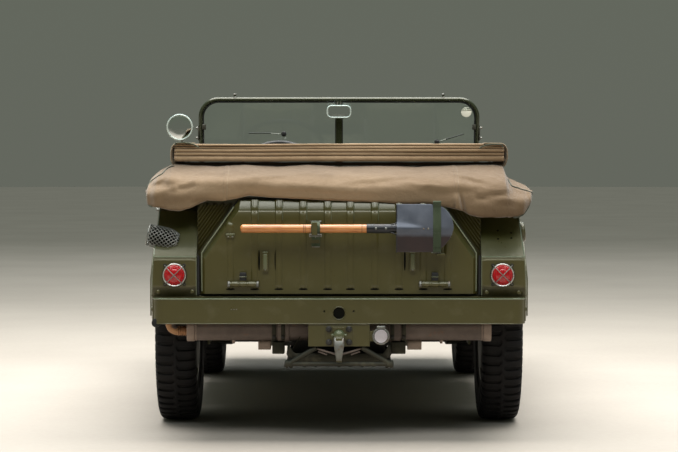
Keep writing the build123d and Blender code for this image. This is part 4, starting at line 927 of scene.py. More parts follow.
# ------------------------------------------------------------------
# seats: crowned pads blown up as cloth, with sewn channels
# ------------------------------------------------------------------
def pad(name, lo, hi, body, node_names, channels=0, along="x", tilt=None, crown=0.010, voxel=0.010, corner=0.035):
    """A seat pad between two corners; tilt is a matrix from its own frame into the car's."""
    lo, hi = Vector(lo), Vector(hi)
    shrink = 0.006
    bm = bmesh.new()
    block(bm, lo.x + shrink, hi.x - shrink, lo.y + shrink, hi.y - shrink, lo.z + 0.001, hi.z - crown, corner, 4)
    o = from_bm(name, bm, SEAT, None, 180)
    r = o.modifiers.new("even", "REMESH")
    r.mode = "VOXEL"
    r.voxel_size = voxel
    bpy.context.view_layer.update()
    dg = bpy.context.evaluated_depsgraph_get()
    me = bpy.data.meshes.new_from_object(o.evaluated_get(dg))
    o.modifiers.clear()
    old = o.data
    o.data = me
    bpy.data.meshes.remove(old)
    base = [v.co.copy() for v in me.vertices]
    moved = None
    flat = [v.index for v in me.vertices if v.co.z < lo.z + 0.004]
    g = o.vertex_groups.new(name="still")
    g.add(flat, 1.0, "REPLACE")
    c = o.modifiers.new("cloth", "CLOTH")
    c.settings.quality = 4
    c.settings.mass = 0.3
    c.settings.use_pressure = True
    c.settings.uniform_pressure_force = 4.0
    c.settings.effector_weights.gravity = 0.0
    c.settings.vertex_group_mass = "still"
    c.settings.tension_stiffness = 12
    c.settings.compression_stiffness = 8
    c.settings.bending_stiffness = 0.6
    c.collision_settings.use_collision = False
    c.point_cache.frame_start, c.point_cache.frame_end = 1, 20
    sc = bpy.context.scene
    for f in range(1, 21):
        sc.frame_set(f)
        bpy.context.view_layer.update()
    ev = o.evaluated_get(bpy.context.evaluated_depsgraph_get())
    moved = [v.co.copy() for v in ev.data.vertices]
    o.modifiers.clear()
    o.vertex_groups.clear()
    sc.frame_set(1)
    mid = (lo + hi) / 2
    half = (hi - lo) / 2
    for i, v in enumerate(me.vertices):
        p = base[i]
        if moved is not None:
            d = moved[i] - p
            if d.length > 0.014:
                d = d * (0.014 / d.length)
            p = p + d
        u, w = (p.x - mid.x) / half.x, (p.y - mid.y) / half.y
        up = min(max((p.z - lo.z) / (hi.z - lo.z), 0), 1)
        p = p + Vector((0, 0, crown * 0.7 * (1 - u ** 4) * (1 - w ** 4) * up))
        if channels:
            q = u if along == "x" else w
            other = w if along == "x" else u
            ph = (q + 1) / 2 * channels
            dip = math.exp(-(((ph - round(ph)) / 0.10) ** 2)) if 0.4 < ph < channels - 0.4 else 0
            p = p - Vector((0, 0, 0.008 * dip * up * (1 - abs(other) ** 6)))
        p = p + Vector((n3(p.x * 14, p.y * 14, p.z * 14), n3(p.x * 14 + 9, p.y * 14, p.z * 14), n3(p.x * 14, p.y * 14 + 9, p.z * 14))) * 0.0016
        v.co = Vector((min(max(p.x, lo.x + 0.0006), hi.x - 0.0006), min(max(p.y, lo.y + 0.0006), hi.y - 0.0006), min(max(p.z, lo.z + 0.0005), hi.z - 0.0004)))
    if tilt is not None:
        me.transform(tilt)
    me.update()
    for p in me.polygons:
        p.use_smooth = True
    s = o.modifiers.new("smooth", "SUBSURF")
    s.levels = s.render_levels = 1
    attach(o, body)
    if node_names:
        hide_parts(*(n for n in node_names if n in NODES))
    # piped seam round the top
    b = bmesh.new()
    rim = []
    n = 96
    for k in range(n):
        t = 2 * math.pi * k / n
        e = 2 / 7.0
        cx = math.copysign(abs(math.cos(t)) ** e, math.cos(t))
        cy = math.copysign(abs(math.sin(t)) ** e, math.sin(t))
        rim.append(Vector((mid.x + cx * (half.x - 0.006), mid.y + cy * (half.y - 0.006), hi.z - 0.030)))
    sweep(b, rim, circle(0.0032, 8), up=Z, closed=True)
    if tilt is not None:
        for v in b.verts:
            v.co = tilt @ v.co
    from_bm(name + "_piping", b, SEAT, body)
    return o


SEAT_X, SEAT_HALF = 0.315, 0.200
replaced = False
for label, s in (("left", -1), ("right", 1)):
    pad("front_cushion_" + label, (s * SEAT_X - SEAT_HALF, -0.560, 0.500), (s * SEAT_X + SEAT_HALF, -0.120, 0.600), "chassis", () if replaced else ("seats", "front_seats", "rear_bench"), 4, "x")
    replaced = True
    lean = Matrix.Translation((0, -0.575, 0.585)) @ Matrix.Rotation(math.radians(12), 4, "X") @ Matrix.Translation((0, -0.090, 0)) @ Matrix.Rotation(math.radians(90), 4, "X") @ Matrix.Scale(-1, 4, (0, 0, 1))
    pad("front_backrest_" + label, (s * SEAT_X - SEAT_HALF, 0.020, 0.0), (s * SEAT_X + SEAT_HALF, 0.400, 0.090), "chassis", (), 4, "x", lean)
pad("rear_bench_cushion", (-0.515, -1.204, 0.501), (0.515, -0.830, 0.600), "chassis", (), 9, "x")
lean = Matrix.Translation((0, -1.288, 0.600)) @ Matrix.Rotation(math.radians(90), 4, "X") @ Matrix.Scale(-1, 4, (0, 0, 1))
pad("rear_bench_back", (-0.515, 0.004, 0.0), (0.515, 0.300, 0.083), "chassis", (), 9, "x", lean)


# ------------------------------------------------------------------
# small shapes shared by the details
# ------------------------------------------------------------------
LID_Y, REAR_FACE = -1.775, -1.772
REAR_VIEW = Vector((0, -1, 0))


def strap(bm, pts, x, width, thick):
    """A flat band along (y, z) points, width wide about x."""
    a, b, e = thick / 2, width / 2, 0.0012
    sec = [(-a, -b + e), (-a, b - e), (-a * 0.4, b), (a * 0.4, b), (a, b - e), (a, -b + e), (a * 0.4, -b), (-a * 0.4, -b)]
    sweep(bm, [Vector((x, y, z)) for y, z in pts], sec, up=X)


def soft_line(pts, bend=0.012, steps=6):
    return [(p.x, p.y) for p in curve_pts([Vector((y, z, 0)) for y, z in pts], bend, steps)]


def ring(bm, c, axis, r, tube, n=40, m=8):
    u, v, _ = frame_of(axis)
    sweep(bm, [Vector(c) + (u * math.cos(t) + v * math.sin(t)) * r for t in (2 * math.pi * i / n for i in range(n))], circle(tube, m), up=axis, closed=True)


def wire(bm, pts, r, bend=0.01, n=8):
    sweep(bm, curve_pts(pts, bend, 5), circle(r, n))


def round_box_x(bm, x0, x1, y0, y1, z0, z1, r, edge=0.002, seg=7):
    """A rounded box lying along X, with chamfered ends."""
    def sec(inset):
        rr = max(r - inset, 0.0005)
        out = []
        for cy, cz, a0 in ((y1 - inset - rr, z1 - inset - rr, 0), (y0 + inset + rr, z1 - inset - rr, 90), (y0 + inset + rr, z0 + inset + rr, 180), (y1 - inset - rr, z0 + inset + rr, 270)):
            for i in range(seg + 1):
                t = math.radians(a0 + 90 * i / seg)
                out.append((cy + rr * math.cos(t), cz + rr * math.sin(t)))
        return out
    rings = []
    for x, inset in ((x0, edge), (x0 + edge * 0.4, edge * 0.3), (x0 + edge, 0), (x1 - edge, 0), (x1 - edge * 0.4, edge * 0.3), (x1, edge)):
        rings.append([bm.verts.new((x, y, z)) for y, z in sec(inset)])
    ring_faces(bm, rings)


def lozenge(bm, c, w, h, d, n=20):
    """A shallow lens on a rear-facing wall, w wide and h high, standing d proud."""
    rings = []
    for k, off in ((1.0, -0.0006), (0.92, d * 0.5), (0.6, d * 0.9), (0.1, d)):
        rings.append([bm.verts.new((c[0] + w / 2 * k * math.cos(t), c[1] - off, c[2] + h / 2 * k * math.sin(t))) for t in (2 * math.pi * i / n for i in range(n))])
    ring_faces(bm, rings)


def plan_arc(half, y_back, r, y_end, z, n=10):
    """A line round the back of the car: from the left side, round both corners, to the right side."""
    pts = [Vector((-half, y_end, z))]
    for i in range(n + 1):
        t = math.pi + math.pi / 2 * i / n
        pts.append(Vector((-half + r + r * math.cos(t), y_back + r + r * math.sin(t), z)))
    for i in range(n + 1):
        t = 1.5 * math.pi + math.pi / 2 * i / n
        pts.append(Vector((half - r + r * math.cos(t), y_back + r + r * math.sin(t), z)))
    pts.append(Vector((half, y_end, z)))
    return pts


# ------------------------------------------------------------------
# engine lid: dark slot marks, hinges, buffers, catches, brackets
# ------------------------------------------------------------------
# dark lenses at the feet of the ribs and beside the brackets: painted shade standing in for slots and undercuts
bm = bmesh.new()
for x in (0.0435, 0.137, 0.230, 0.323, 0.416):
    for s in (1, -1):
        lozenge(bm, (s * x, LID_Y, 0.5835), 0.037, 0.0078, 0.0012)
for x in (-0.306, -0.243, 0.252, 0.3145):
    lozenge(bm, (x, LID_Y, 0.694), 0.0082, 0.084, 0.0010, 24)
from_bm("lid_slot_shades", bm, RECESS_SHADE, "engine_lid")

bm, bk, br, bh = bmesh.new(), bmesh.new(), bmesh.new(), bmesh.new()
for s in (1, -1):
    hx = s * 0.366
    # hinge barrels, end caps and the leaf's screws
    for k, (a, b, r) in enumerate(((-0.060, -0.050, 0.0120), (-0.046, -0.018, 0.0110), (-0.014, 0.014, 0.0110), (0.018, 0.046, 0.0110), (0.050, 0.060, 0.0120))):
        lathe(br if k in (0, 4) else bm, (hx, -1.790, 0.603), X, [(r * 0.75, a), (r, a + 0.002), (r, b - 0.002), (r * 0.75, b)], 20)
    for dx in (-0.030, 0.030):
        rivet(bm, (hx + dx, -1.7885, 0.6095), REAR_VIEW, 0.004, 0.0022)
    # rubber buffer with its steel strap
    block(bk, s * 0.367 - 0.0128, s * 0.367 + 0.0128, -1.7965, -1.7755, 0.6155, 0.6478, 0.0035, 3)
    block(bh, s * 0.367 - 0.0136, s * 0.367 + 0.0136, -1.7985, -1.7755, 0.6300, 0.6328, 0.0008, 1)
    # upright bracket: dished face with two screws and a top lip, both in the lighter olive as painted highlight
    bx = s * 0.282
    block(bm, bx - 0.0122, bx + 0.0122, -1.7912, -1.7755, 0.6525, 0.7265, 0.0055, 4)
    block(bh, bx - 0.0095, bx + 0.0095, -1.7932, -1.7840, 0.7222, 0.7275, 0.0018, 2)
    block(bh, bx - 0.0075, bx + 0.0075, -1.7945, -1.789, 0.660, 0.718, 0.0030, 3)
    rivet(br, (bx, -1.7912, 0.6588), REAR_VIEW, 0.0034, 0.0022)
    # small catch high on the lid: a bent plate on two screws
    cx = s * 0.4155
    block(bh, cx - 0.0175, cx + 0.0175, -1.7895, -1.786, 0.7905, 0.7965, 0.0012, 2)
    block(bm, cx - 0.0140, cx + 0.0140, -1.7880, -1.775, 0.7800, 0.7912, 0.0020, 2)
    rivet(br, (cx - 0.008, -1.788, 0.7852), REAR_VIEW, 0.0028, 0.0018)
    rivet(br, (cx + 0.008, -1.788, 0.7852), REAR_VIEW, 0.0028, 0.0018)
from_bm("lid_hardware", bm, OLIVE, "engine_lid")
from_bm("lid_buffers", bk, BLACK_RUBBER, "engine_lid")
from_bm("lid_screws", br, DULL, "engine_lid")
# the buffer straps, bracket faces and lips and the catch plates: painted highlight in the lighter olive
from_bm("lid_highlighted_fittings", bh, OLIVE_HIGHLIGHT, "engine_lid")

# a seal round the lid's edge
bm = bmesh.new()
edge_line = [(-0.5265, -1.744, 0.562), (0.5265, -1.744, 0.562), (0.5265, -1.744, 0.724), (0.3865, -1.744, 0.9265), (-0.3865, -1.744, 0.9265), (-0.5265, -1.744, 0.724)]
path = []
for i, p in enumerate(edge_line):
    a, b, c = Vector(edge_line[i - 1]), Vector(p), Vector(edge_line[(i + 1) % 6])
    p0, p1 = b + (a - b).normalized() * 0.012, b + (c - b).normalized() * 0.012
    path += [p0.lerp(b, t).lerp(b.lerp(p1, t), t) for t in (0, 0.25, 0.5, 0.75, 1)]
sweep(bm, path, circle(0.0036, 8), up=Y, closed=True)
from_bm("lid_seal", bm, BLACK_RUBBER, "engine_lid")
# the lid's slanting edges are folded back, with a painted highlight line along the fold
bm = bmesh.new()
for s in (1, -1):
    edge_path = [Vector((s * 0.5255, -1.7640, 0.575)), Vector((s * 0.5265, -1.7642, 0.650)), Vector((s * 0.5265, -1.7645, 0.7215)), Vector((s * 0.5130, -1.7650, 0.7440)), Vector((s * 0.4780, -1.7650, 0.7930)), Vector((s * 0.4380, -1.7645, 0.8490)), Vector((s * 0.4030, -1.7600, 0.8985))]
    sweep(bm, edge_path, circle(0.0030, 8), up=Y)
from_bm("lid_folded_edges", bm, EDGE_HIGHLIGHT, "engine_lid")

# the pressed ribs are flat on top at the shoulder, with a painted highlight line down one edge, and sink into the
# rounded ones below
bm, bh = bmesh.new(), bmesh.new()
for rib in (0.0435, 0.137, 0.230, 0.323):
    for x in (rib, -rib):
        path = curve_pts([(x, LID_Y + 0.0188, 0.9242), (x, LID_Y, 0.884), (x, LID_Y, 0.838), (x, LID_Y + 0.0075, 0.775)], 0.020, 8)
        sweep(bm, path, [(-0.0015, -0.0148), (0.0046, -0.0122), (0.0056, -0.0108), (0.0056, 0.0108), (0.0046, 0.0122), (-0.0015, 0.0148)], up=X)
        top = [p + Vector((0.0136, -0.0014, 0)) for p in path if p.z > 0.845]
        sweep(bh, top, circle(0.0014, 8), up=X)
from_bm("lid_ribs", bm, OLIVE_LID, "engine_lid", 20)
from_bm("lid_rib_edges", bh, EDGE_HIGHLIGHT, "engine_lid")


# ------------------------------------------------------------------
# shovel: dished blade with a socket, and its two straps
# ------------------------------------------------------------------
BLADE_TOP = [(0.2185, 0.911), (0.345, 0.9105), (0.380, 0.9055), (0.402, 0.894), (0.418, 0.877), (0.429, 0.856), (0.4340, 0.835), (0.4345, 0.826)]
BLADE_LOW = [(0.2185, 0.7290), (0.340, 0.7290), (0.366, 0.7325), (0.386, 0.7420), (0.403, 0.7570), (0.418, 0.777), (0.429, 0.798), (0.4340, 0.816), (0.4345, 0.826)]


def blade_y(x, z):
    v = (z - 0.8185) / 0.0925
    t = (x - 0.2185) / 0.216
    y = -1.8640 + 0.0175 * min(abs(v), 1.2) ** 1.25
    y += 0.010 * t * t - 0.003
    frog = max(0.0, 1 - (x - 0.2185) / 0.105)
    w = 0.20 * (0.35 + 0.65 * frog)
    y -= 0.0085 * frog ** 0.7 * math.exp(-((v / w) ** 2))
    return y + 0.0007 * n3(x * 22, z * 22, 3.0)


verts, faces = [], []
NX, NZ = 56, 44
for i in range(NX):
    t = i / (NX - 1)
    x = 0.2185 + 0.2160 * math.sin(t * math.pi / 2) ** 0.9 if t > 0 else 0.2185
    x = min(x, 0.4344)
    hi, lo = line(BLADE_TOP, x), line(BLADE_LOW, x)
    for j in range(NZ):
        z = lo + (hi - lo) * j / (NZ - 1)
        verts.append((x, blade_y(x, z), z))
for i in range(NX - 1):
    for j in range(NZ - 1):
        faces.append((i * NZ + j, i * NZ + j + 1, (i + 1) * NZ + j + 1, (i + 1) * NZ + j))
blade = mesh_from("shovel_blade_dished", verts, faces, BLADE, None)
m = blade.modifiers.new("thickness", "SOLIDIFY")
m.thickness, m.offset = 0.0026, 0.0
m = blade.modifiers.new("edges", "BEVEL")
m.width, m.segments, m.limit_method = 0.0008, 2, "ANGLE"
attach(blade, "engine_lid")
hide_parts("shovel_blade")

bm, br = bmesh.new(), bmesh.new()
SY, SZ = -1.850, 0.818
lathe(bm, (0.094, SY, SZ), X, [(0.0150, 0.010), (0.0166, 0.0105), (0.0178, 0.013), (0.0180, 0.020), (0.0178, 0.080), (0.0172, 0.110), (0.0160, 0.130), (0.0125, 0.158), (0.0075, 0.190), (0.0030, 0.222), (0.0008, 0.232)], 28, (False, True))
for side in (1, -1):
    # treads rolled over at the blade's shoulders, and the fillets into the socket
    pts = [(0.2188, blade_y(0.2185, SZ + side * d), SZ + side * d) for d in (0.0905, 0.075, 0.055, 0.038, 0.026)]
    wire(bm, pts + [(0.214, -1.8665, SZ + side * 0.019), (0.198, -1.866, SZ + side * 0.0150)], 0.0026, 0.012)
for x in (0.140, 0.178):
    rivet(br, (x, SY - 0.0172, SZ + 0.001), REAR_VIEW, 0.0046, 0.0026)
rivet(br, (0.3385, blade_y(0.3385, SZ) - 0.001, SZ), REAR_VIEW, 0.0042, 0.0028)
rivet(br, (0.3210, blade_y(0.3210, SZ) - 0.001, SZ), REAR_VIEW, 0.0030, 0.0020)
from_bm("shovel_socket", bm, SOCKET, "engine_lid")
from_bm("shovel_rivets", br, DULL, "engine_lid")

# dark turned rings and the burnt end of the handle
bm = bmesh.new()
for x, w in ((-0.1335, 0.0022), (-0.1270, 0.0012), (0.0870, 0.0016)):
    lathe(bm, (x, SY, SZ), X, [(0.0155, -w), (0.01625, -w * 0.6), (0.01625, w * 0.6), (0.0155, w)], 28)
from_bm("handle_rings", bm, metal("scorched_wood", (0.10, 0.040, 0.012), (0.16, 0.06, 0.02), None, 0.5, 0.7, 0.0), "engine_lid")

web, buck, plate = bmesh.new(), bmesh.new(), bmesh.new()
HX = -0.0886
over = [(-1.7795, 0.8420), (-1.8350, 0.8420)]
for i in range(9):
    t = math.radians(90 + 180 * i / 8)
    over.append((SY + 0.0198 * math.cos(t), SZ + 0.0198 * math.sin(t)))
over += [(-1.846, 0.795), (-1.812, 0.7925), (-1.7865, 0.786), (-1.7815, 0.764), (-1.7835, 0.748)]
strap(plate, soft_line(over, 0.006, 4), HX, 0.0335, 0.0030)
# buckle frame under the handle with its prong and keeper
for z0, z1 in ((0.7865, 0.7985),):
    block(buck, HX - 0.0245, HX + 0.0235, -1.8645, -1.8600, z1 - 0.0042, z1, 0.0016, 2)
    block(buck, HX - 0.0245, HX - 0.0205, -1.8640, -1.8420, z0, z1, 0.0014, 2)
    block(buck, HX + 0.0195, HX + 0.0235, -1.8640, -1.8420, z0, z1, 0.0014, 2)
    block(buck, HX - 0.0245, HX + 0.0235, -1.8450, -1.8405, z0, z0 + 0.0042, 0.0016, 2)
wire(buck, [(HX, -1.8635, 0.797), (HX, -1.8665, 0.790), (HX, -1.8560, 0.7835)], 0.0017, 0.004)
# the tail of the strap ends in a stitched tab with a steel tip
block(buck, HX - 0.0150, HX + 0.0150, -1.7870, -1.7815, 0.7440, 0.7475, 0.0010, 2)
# footman loops on the lid
for x, z in ((HX, 0.8435),):
    block(buck, x - 0.0225, x + 0.0225, -1.7850, -1.7755, z - 0.0022, z + 0.0022, 0.0012, 2)
from_bm("handle_strap", plate, WEB, "engine_lid", 50)

BX = 0.3720
down = [(-1.7745, 0.8835), (-1.7835, 0.8900), (-1.8120, 0.9010), (-1.8480, 0.9175), (-1.8560, 0.9225), (-1.8592, 0.9180)]
down += [(blade_y(BX, z) - 0.0030, z) for z in (0.9000, 0.880, 0.86, 0.84, 0.8185, 0.80, 0.78, 0.76, 0.7400)]
down += [(-1.8480, 0.7300), (-1.8400, 0.7262), (-1.8050, 0.7240), (-1.7800, 0.7235)]
strap(web, soft_line(down, 0.005, 4), BX, 0.0305, 0.0032)
strap(web, [(blade_y(BX, z) - 0.0056, z) for z in (0.802, 0.79, 0.775, 0.76, 0.748)], BX, 0.0270, 0.0026)
block(buck, BX - 0.0190, BX + 0.0190, -1.7840, -1.7755, 0.7215, 0.7255, 0.0012, 2)
block(buck, BX - 0.0190, BX + 0.0190, -1.7815, -1.7735, 0.8815, 0.8855, 0.0012, 2)
from_bm("blade_strap", web, WEB, "engine_lid", 50)
from_bm("strap_buckles", buck, DULL, "engine_lid")


# ------------------------------------------------------------------
# louvres beside the slanting edges of the lid
# ------------------------------------------------------------------
bm = bmesh.new()
ex, ez = 0.385 - 0.530, 0.925 - 0.722
el = math.hypot(ex, ez)
dx, dz = ex / el, ez / el
nx, nz = dz, -dx
for s in (1, -1):
    for k in range(11):
        o = 0.016 + 0.0105 * k
        t0 = max(0.0, (0.530 + nx * o - 0.5425) / -dx)
        t1 = (0.9055 - 0.722 - nz * o) / dz
        if t1 - t0 < 0.015:
            continue
        p0 = Vector((s * (0.530 + nx * o + dx * t0), -1.7265, 0.722 + nz * o + dz * t0))
        p1 = Vector((s * (0.530 + nx * o + dx * t1), -1.7265, 0.722 + nz * o + dz * t1))
        out = Vector((s * nx, -1.0, nz)).normalized()
        sweep(bm, [p0, p0.lerp(p1, 0.5), p1], [(-0.0006, -0.006), (0.0006, -0.006), (0.0010, 0.0054), (0.0, 0.0064), (-0.0010, 0.0054)], up=out)
from_bm("louvre_blades", bm, OLIVE, "chassis")


# ------------------------------------------------------------------
# body: folded lips, bolts, drain holes
# ------------------------------------------------------------------
bm, bh = bmesh.new(), bmesh.new()
for x, z in ((-0.6926, 0.5728), (-0.5625, 0.5728), (0.5660, 0.5700), (0.6888, 0.5690)):
    bolt(bm, (x, REAR_FACE - 0.0002, z), REAR_VIEW, 0.0062, 0.0045)
slope = Vector((0, -0.224, 0.180)).normalized()


def slope_y(z):
    return -1.772 + (z - 0.708) * 0.180 / 0.224


# the holes are dark discs: painted shade for their depth
for x, z in ((0.6128, 0.804), (0.6128, 0.773), (0.6640, 0.796), (0.6640, 0.776)):
    lathe(bh, Vector((x, slope_y(z), z)) + slope * 0.0019, slope, [(0.0042, -0.001), (0.0042, 0.0003), (0.0030, 0.0005), (0.0004, 0.0003)], 14)
from_bm("corner_bolts", bm, OLIVE, "chassis")
from_bm("corner_holes", bh, RECESS_SHADE, "chassis")

# bumper: rolled top edge, lower lip, end bolts, crank hole, rubber stop
bm = bmesh.new()
be = bmesh.new()
# the rolled top edge in the lighter edge paint: painted highlight line
sweep(be, plan_arc(0.7125, -1.8105, 0.0535, -1.700, 0.5476), circle(0.0036, 10), up=Z)
from_bm("bumper_top_edge", be, EDGE_HIGHLIGHT, "chassis")
sweep(bm, plan_arc(0.7125, -1.8105, 0.0535, -1.700, 0.4535), circle(0.0022, 8), up=Z)
for s in (1, -1):
    for y in (-1.742, -1.716):
        bolt(bm, (s * 0.7138, y, 0.505), X * s, 0.0075, 0.005)
from_bm("bumper_lips", bm, OLIVE, "chassis")
bm = bmesh.new()
ring(bm, (0, -1.8125, 0.494), Y, 0.0245, 0.0024, 40, 8)
from_bm("crank_hole_rim", bm, OLIVE, "chassis")
# a dark disc set back in the crank hole: painted shade for the hole's depth
bm = bmesh.new()
lathe(bm, (0, -1.8118, 0.494), Y, [(0.0240, 0.001), (0.0240, 0.020), (0.0215, 0.0215), (0.0004, 0.022)], 32)
from_bm("crank_hole_shade", bm, RECESS_SHADE, "chassis")
bm = bmesh.new()
lathe(bm, (-0.700, -1.790, 0.455), REAR_VIEW, [(0.010, -0.03), (0.0165, -0.024), (0.0172, 0.0), (0.0165, 0.004), (0.010, 0.006), (0.0005, 0.0065)], 24)
from_bm("bumper_rubber_stop", bm, BLACK_RUBBER, "chassis")


# ------------------------------------------------------------------
# tail lamps with wire guards
# ------------------------------------------------------------------
first = True
for side, x, z in (("left", -0.630, 0.638), ("right", 0.626, 0.638)):
    bm = bmesh.new()
    at = (x, REAR_FACE, z)
    lathe(bm, at, REAR_VIEW, [(0.0385, 0.012), (0.0385, 0.0165), (0.0380, 0.0185), (0.0350, 0.0215), (0.0335, 0.0210), (0.0320, 0.0230), (0.0305, 0.0225), (0.0285, 0.0250), (0.0270, 0.0246), (0.0220, 0.0280), (0.0150, 0.0298), (0.0080, 0.0306), (0.0006, 0.0309)], 48, (True, True))
    o = from_bm("tail_lens_" + side, bm, RED, "chassis", 60)
    if first:
        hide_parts("rear_lamps")
        first = False
    bm = bmesh.new()
    lathe(bm, at, REAR_VIEW, [(0.0470, -0.002), (0.0470, 0.0035), (0.0455, 0.0050), (0.0440, 0.0050), (0.0430, 0.0120), (0.0400, 0.0125)], 48, (True, False))
    from_bm("tail_base_" + side, bm, BLACK_PAINT, "chassis")
    bm = bmesh.new()
    prof = [(0.0440, 0.0110), (0.0448, 0.0135), (0.0444, 0.0165), (0.0425, 0.0182), (0.0400, 0.0176), (0.0380, 0.0155), (0.0380, 0.0120)]
    lathe(bm, at, REAR_VIEW, prof, 48, (False, False))
    from_bm("tail_rim_" + side, bm, STEEL, "chassis")
    bm, bb = bmesh.new(), bmesh.new()
    c = Vector((x, 0, z))
    for k, a in enumerate((45, 135)):
        u = Vector((math.cos(math.radians(a)), 0, math.sin(math.radians(a))))
        y0 = -1.8090 - 0.0036 * k
        pts = [c + u * 0.0520 + Vector((0, -1.7725, 0)), c + u * 0.0515 + Vector((0, -1.792, 0)), c + u * 0.036 + Vector((0, y0, 0)), c + Vector((0, y0 - 0.0035, 0)), c - u * 0.036 + Vector((0, y0, 0)), c - u * 0.0515 + Vector((0, -1.792, 0)), c - u * 0.0520 + Vector((0, -1.7725, 0))]
        wire(bm, pts, 0.0019, 0.010)
        # the guard's feet are black: painted shadow where the wires meet the body
        for e in (1, -1):
            lathe(bb, c + u * e * 0.0520 + Vector((0, -1.7722, 0)), REAR_VIEW, [(0.0080, -0.001), (0.0080, 0.0012), (0.0062, 0.0020), (0.0030, 0.0022)], 16)
    from_bm("tail_guard_" + side, bm, DULL, "chassis")
    from_bm("tail_guard_feet_" + side, bb, BLACK_PAINT, "chassis")


# ------------------------------------------------------------------
# perforated guard at the left rear corner
# ------------------------------------------------------------------
gdir = Vector((-1, 0.05, 0.22)).normalized()
gc = Vector((-0.668, -1.716, 0.775))
gu, gv, _ = frame_of(gdir)
verts, faces = [], []
AROUND, ALONG = 16, 14
G0, G1 = -0.052, 0.068


def guard_r(t):
    return 0.0425 * (1 - 0.42 * max(0.0, 1 - t / 0.42) ** 2.2) * (1 - 0.06 * max(0.0, (t - 0.7) / 0.3) ** 2)


for i in range(ALONG + 1):
    t = i / ALONG
    d = G0 + (G1 - G0) * t
    for j in range(AROUND):
        a = 2 * math.pi * (j + (0.5 if i % 2 else 0.0)) / AROUND
        verts.append(gc + gdir * d + (gu * math.cos(a) + gv * math.sin(a)) * guard_r(t))
for i in range(ALONG - 1):
    for j in range(AROUND):
        if i % 2:
            l, r = i * 0 + j, (j + 1) % AROUND
            mid = (j + 1) % AROUND
        else:
            l, r = j, (j + 1) % AROUND
            mid = j
        # a diamond between rows i, i + 1 and i + 2
        a0 = i * AROUND + mid if i % 2 else i * AROUND + (j + 1) % AROUND
        if i % 2 == 0:
            quad = (i * AROUND + (j + 1) % AROUND, (i + 1) * AROUND + (j + 1) % AROUND, (i + 2) * AROUND + (j + 1) % AROUND, (i + 1) * AROUND + j)
        else:
            quad = (i * AROUND + j, (i + 1) * AROUND + (j + 1) % AROUND, (i + 2) * AROUND + j, (i + 1) * AROUND + j)
        faces.append(quad)
cage = mesh_from("guard_mesh", verts, faces, GUARD, None, False)
m = cage.modifiers.new("strands", "WIREFRAME")
m.thickness, m.offset = 0.0036, 0.0
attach(cage, "chassis")
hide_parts("exhaust_guard")
bm = bmesh.new()
for d, t in ((G1 - 0.001, 1.0), (G0 + 0.006, 0.05)):
    ring(bm, gc + gdir * d, gdir, guard_r(t), 0.0026, 40, 8)
from_bm("guard_rims", bm, GUARD, "chassis")
# the pipe inside the guard and a lining under its mesh are near-black: painted shade, so the holes read dark
bm = bmesh.new()
lathe(bm, gc, gdir, [(0.012, -0.052), (0.024, -0.030), (0.0300, -0.010), (0.0300, 0.040), (0.0285, 0.042), (0.0270, 0.040), (0.0270, 0.0), (0.0005, -0.004)], 28)
from_bm("guard_inner_pipe", bm, RECESS_SHADE, "chassis")
bm = bmesh.new()
lathe(bm, gc, gdir, [(max(guard_r(k / 12) - 0.0075, 0.002), G0 + 0.004 + (G1 - G0 - 0.010) * k / 12) for k in range(13)] + [(0.020, G1 - 0.008), (0.0005, G1 - 0.009)], 28)
from_bm("guard_inner_shade", bm, RECESS_SHADE, "chassis")


# ------------------------------------------------------------------
# silencer: end caps, seam, clamps, straps, outlet bend
# ------------------------------------------------------------------
bm = bmesh.new()
for s in (1, -1):
    a, b = sorted((s * 0.5585, s * 0.5895))
    round_box_x(bm, a, b, -1.6965, -1.5855, 0.3745, 0.4595, 0.0315, 0.003)
    a, b = sorted((s * 0.551, s * 0.5565))
    round_box_x(bm, a, b, -1.6945, -1.5875, 0.3765, 0.4575, 0.0300, 0.0015)
from_bm("silencer_caps", bm, CAP, "chassis")
bm, br = bmesh.new(), bmesh.new()
for s, x0, x1 in ((-1, 0.2085, 0.2595), (1, 0.1980, 0.2590)):
    for x in (x0, x1 - 0.016):
        a, b = sorted((s * x, s * (x + 0.016)))
        round_box_x(bm, a, b, -1.6985, -1.5835, 0.3725, 0.4615, 0.0330, 0.0012)
        bolt(br, ((a + b) / 2, -1.6985, 0.3940), REAR_VIEW, 0.0050, 0.0045)
    # hanger box under the clamp
    a, b = sorted((s * (x0 + 0.002), s * (x1 - 0.001)))
    block(bm, a, b, -1.6900, -1.6400, 0.3270, 0.3740, 0.004, 2)
from_bm("silencer_clamps", bm, BLACK_PAINT, "chassis")
from_bm("silencer_bolts", br, OILY, "chassis")
bm = bmesh.new()
for x0, x1 in ((-0.3130, -0.2640), (0.2650, 0.3200)):
    round_box_x(bm, x0, x1, -1.6800, -1.6300, 0.3420, 0.3790, 0.0120, 0.0020)
for x in (-0.409, 0.397):
    lathe(bm, (x, -1.655, 0.3785), -Z, [(0.0070, -0.004), (0.0070, 0.004), (0.0050, 0.006), (0.0050, 0.0125), (0.0030, 0.0135)], 16)
from_bm("silencer_stubs", bm, CAP, "chassis")
bm = bmesh.new()
pipe = curve_pts([(-0.5860, -1.640, 0.414), (-0.658, -1.640, 0.414), (-0.658, -1.640, 0.528)], 0.040, 10)
sweep(bm, pipe, circle(0.0178, 24))
for k in range(6):
    lathe(bm, (-0.5905 - 0.0068 * k, -1.640, 0.414), -X, [(0.0176, -0.0022), (0.0205, -0.0006), (0.0205, 0.0006), (0.0176, 0.0022)], 28)
ring(bm, (-0.5885, -1.640, 0.414), X, 0.0200, 0.0028, 32, 8)
from_bm("outlet_bend", bm, ELBOW, "chassis")


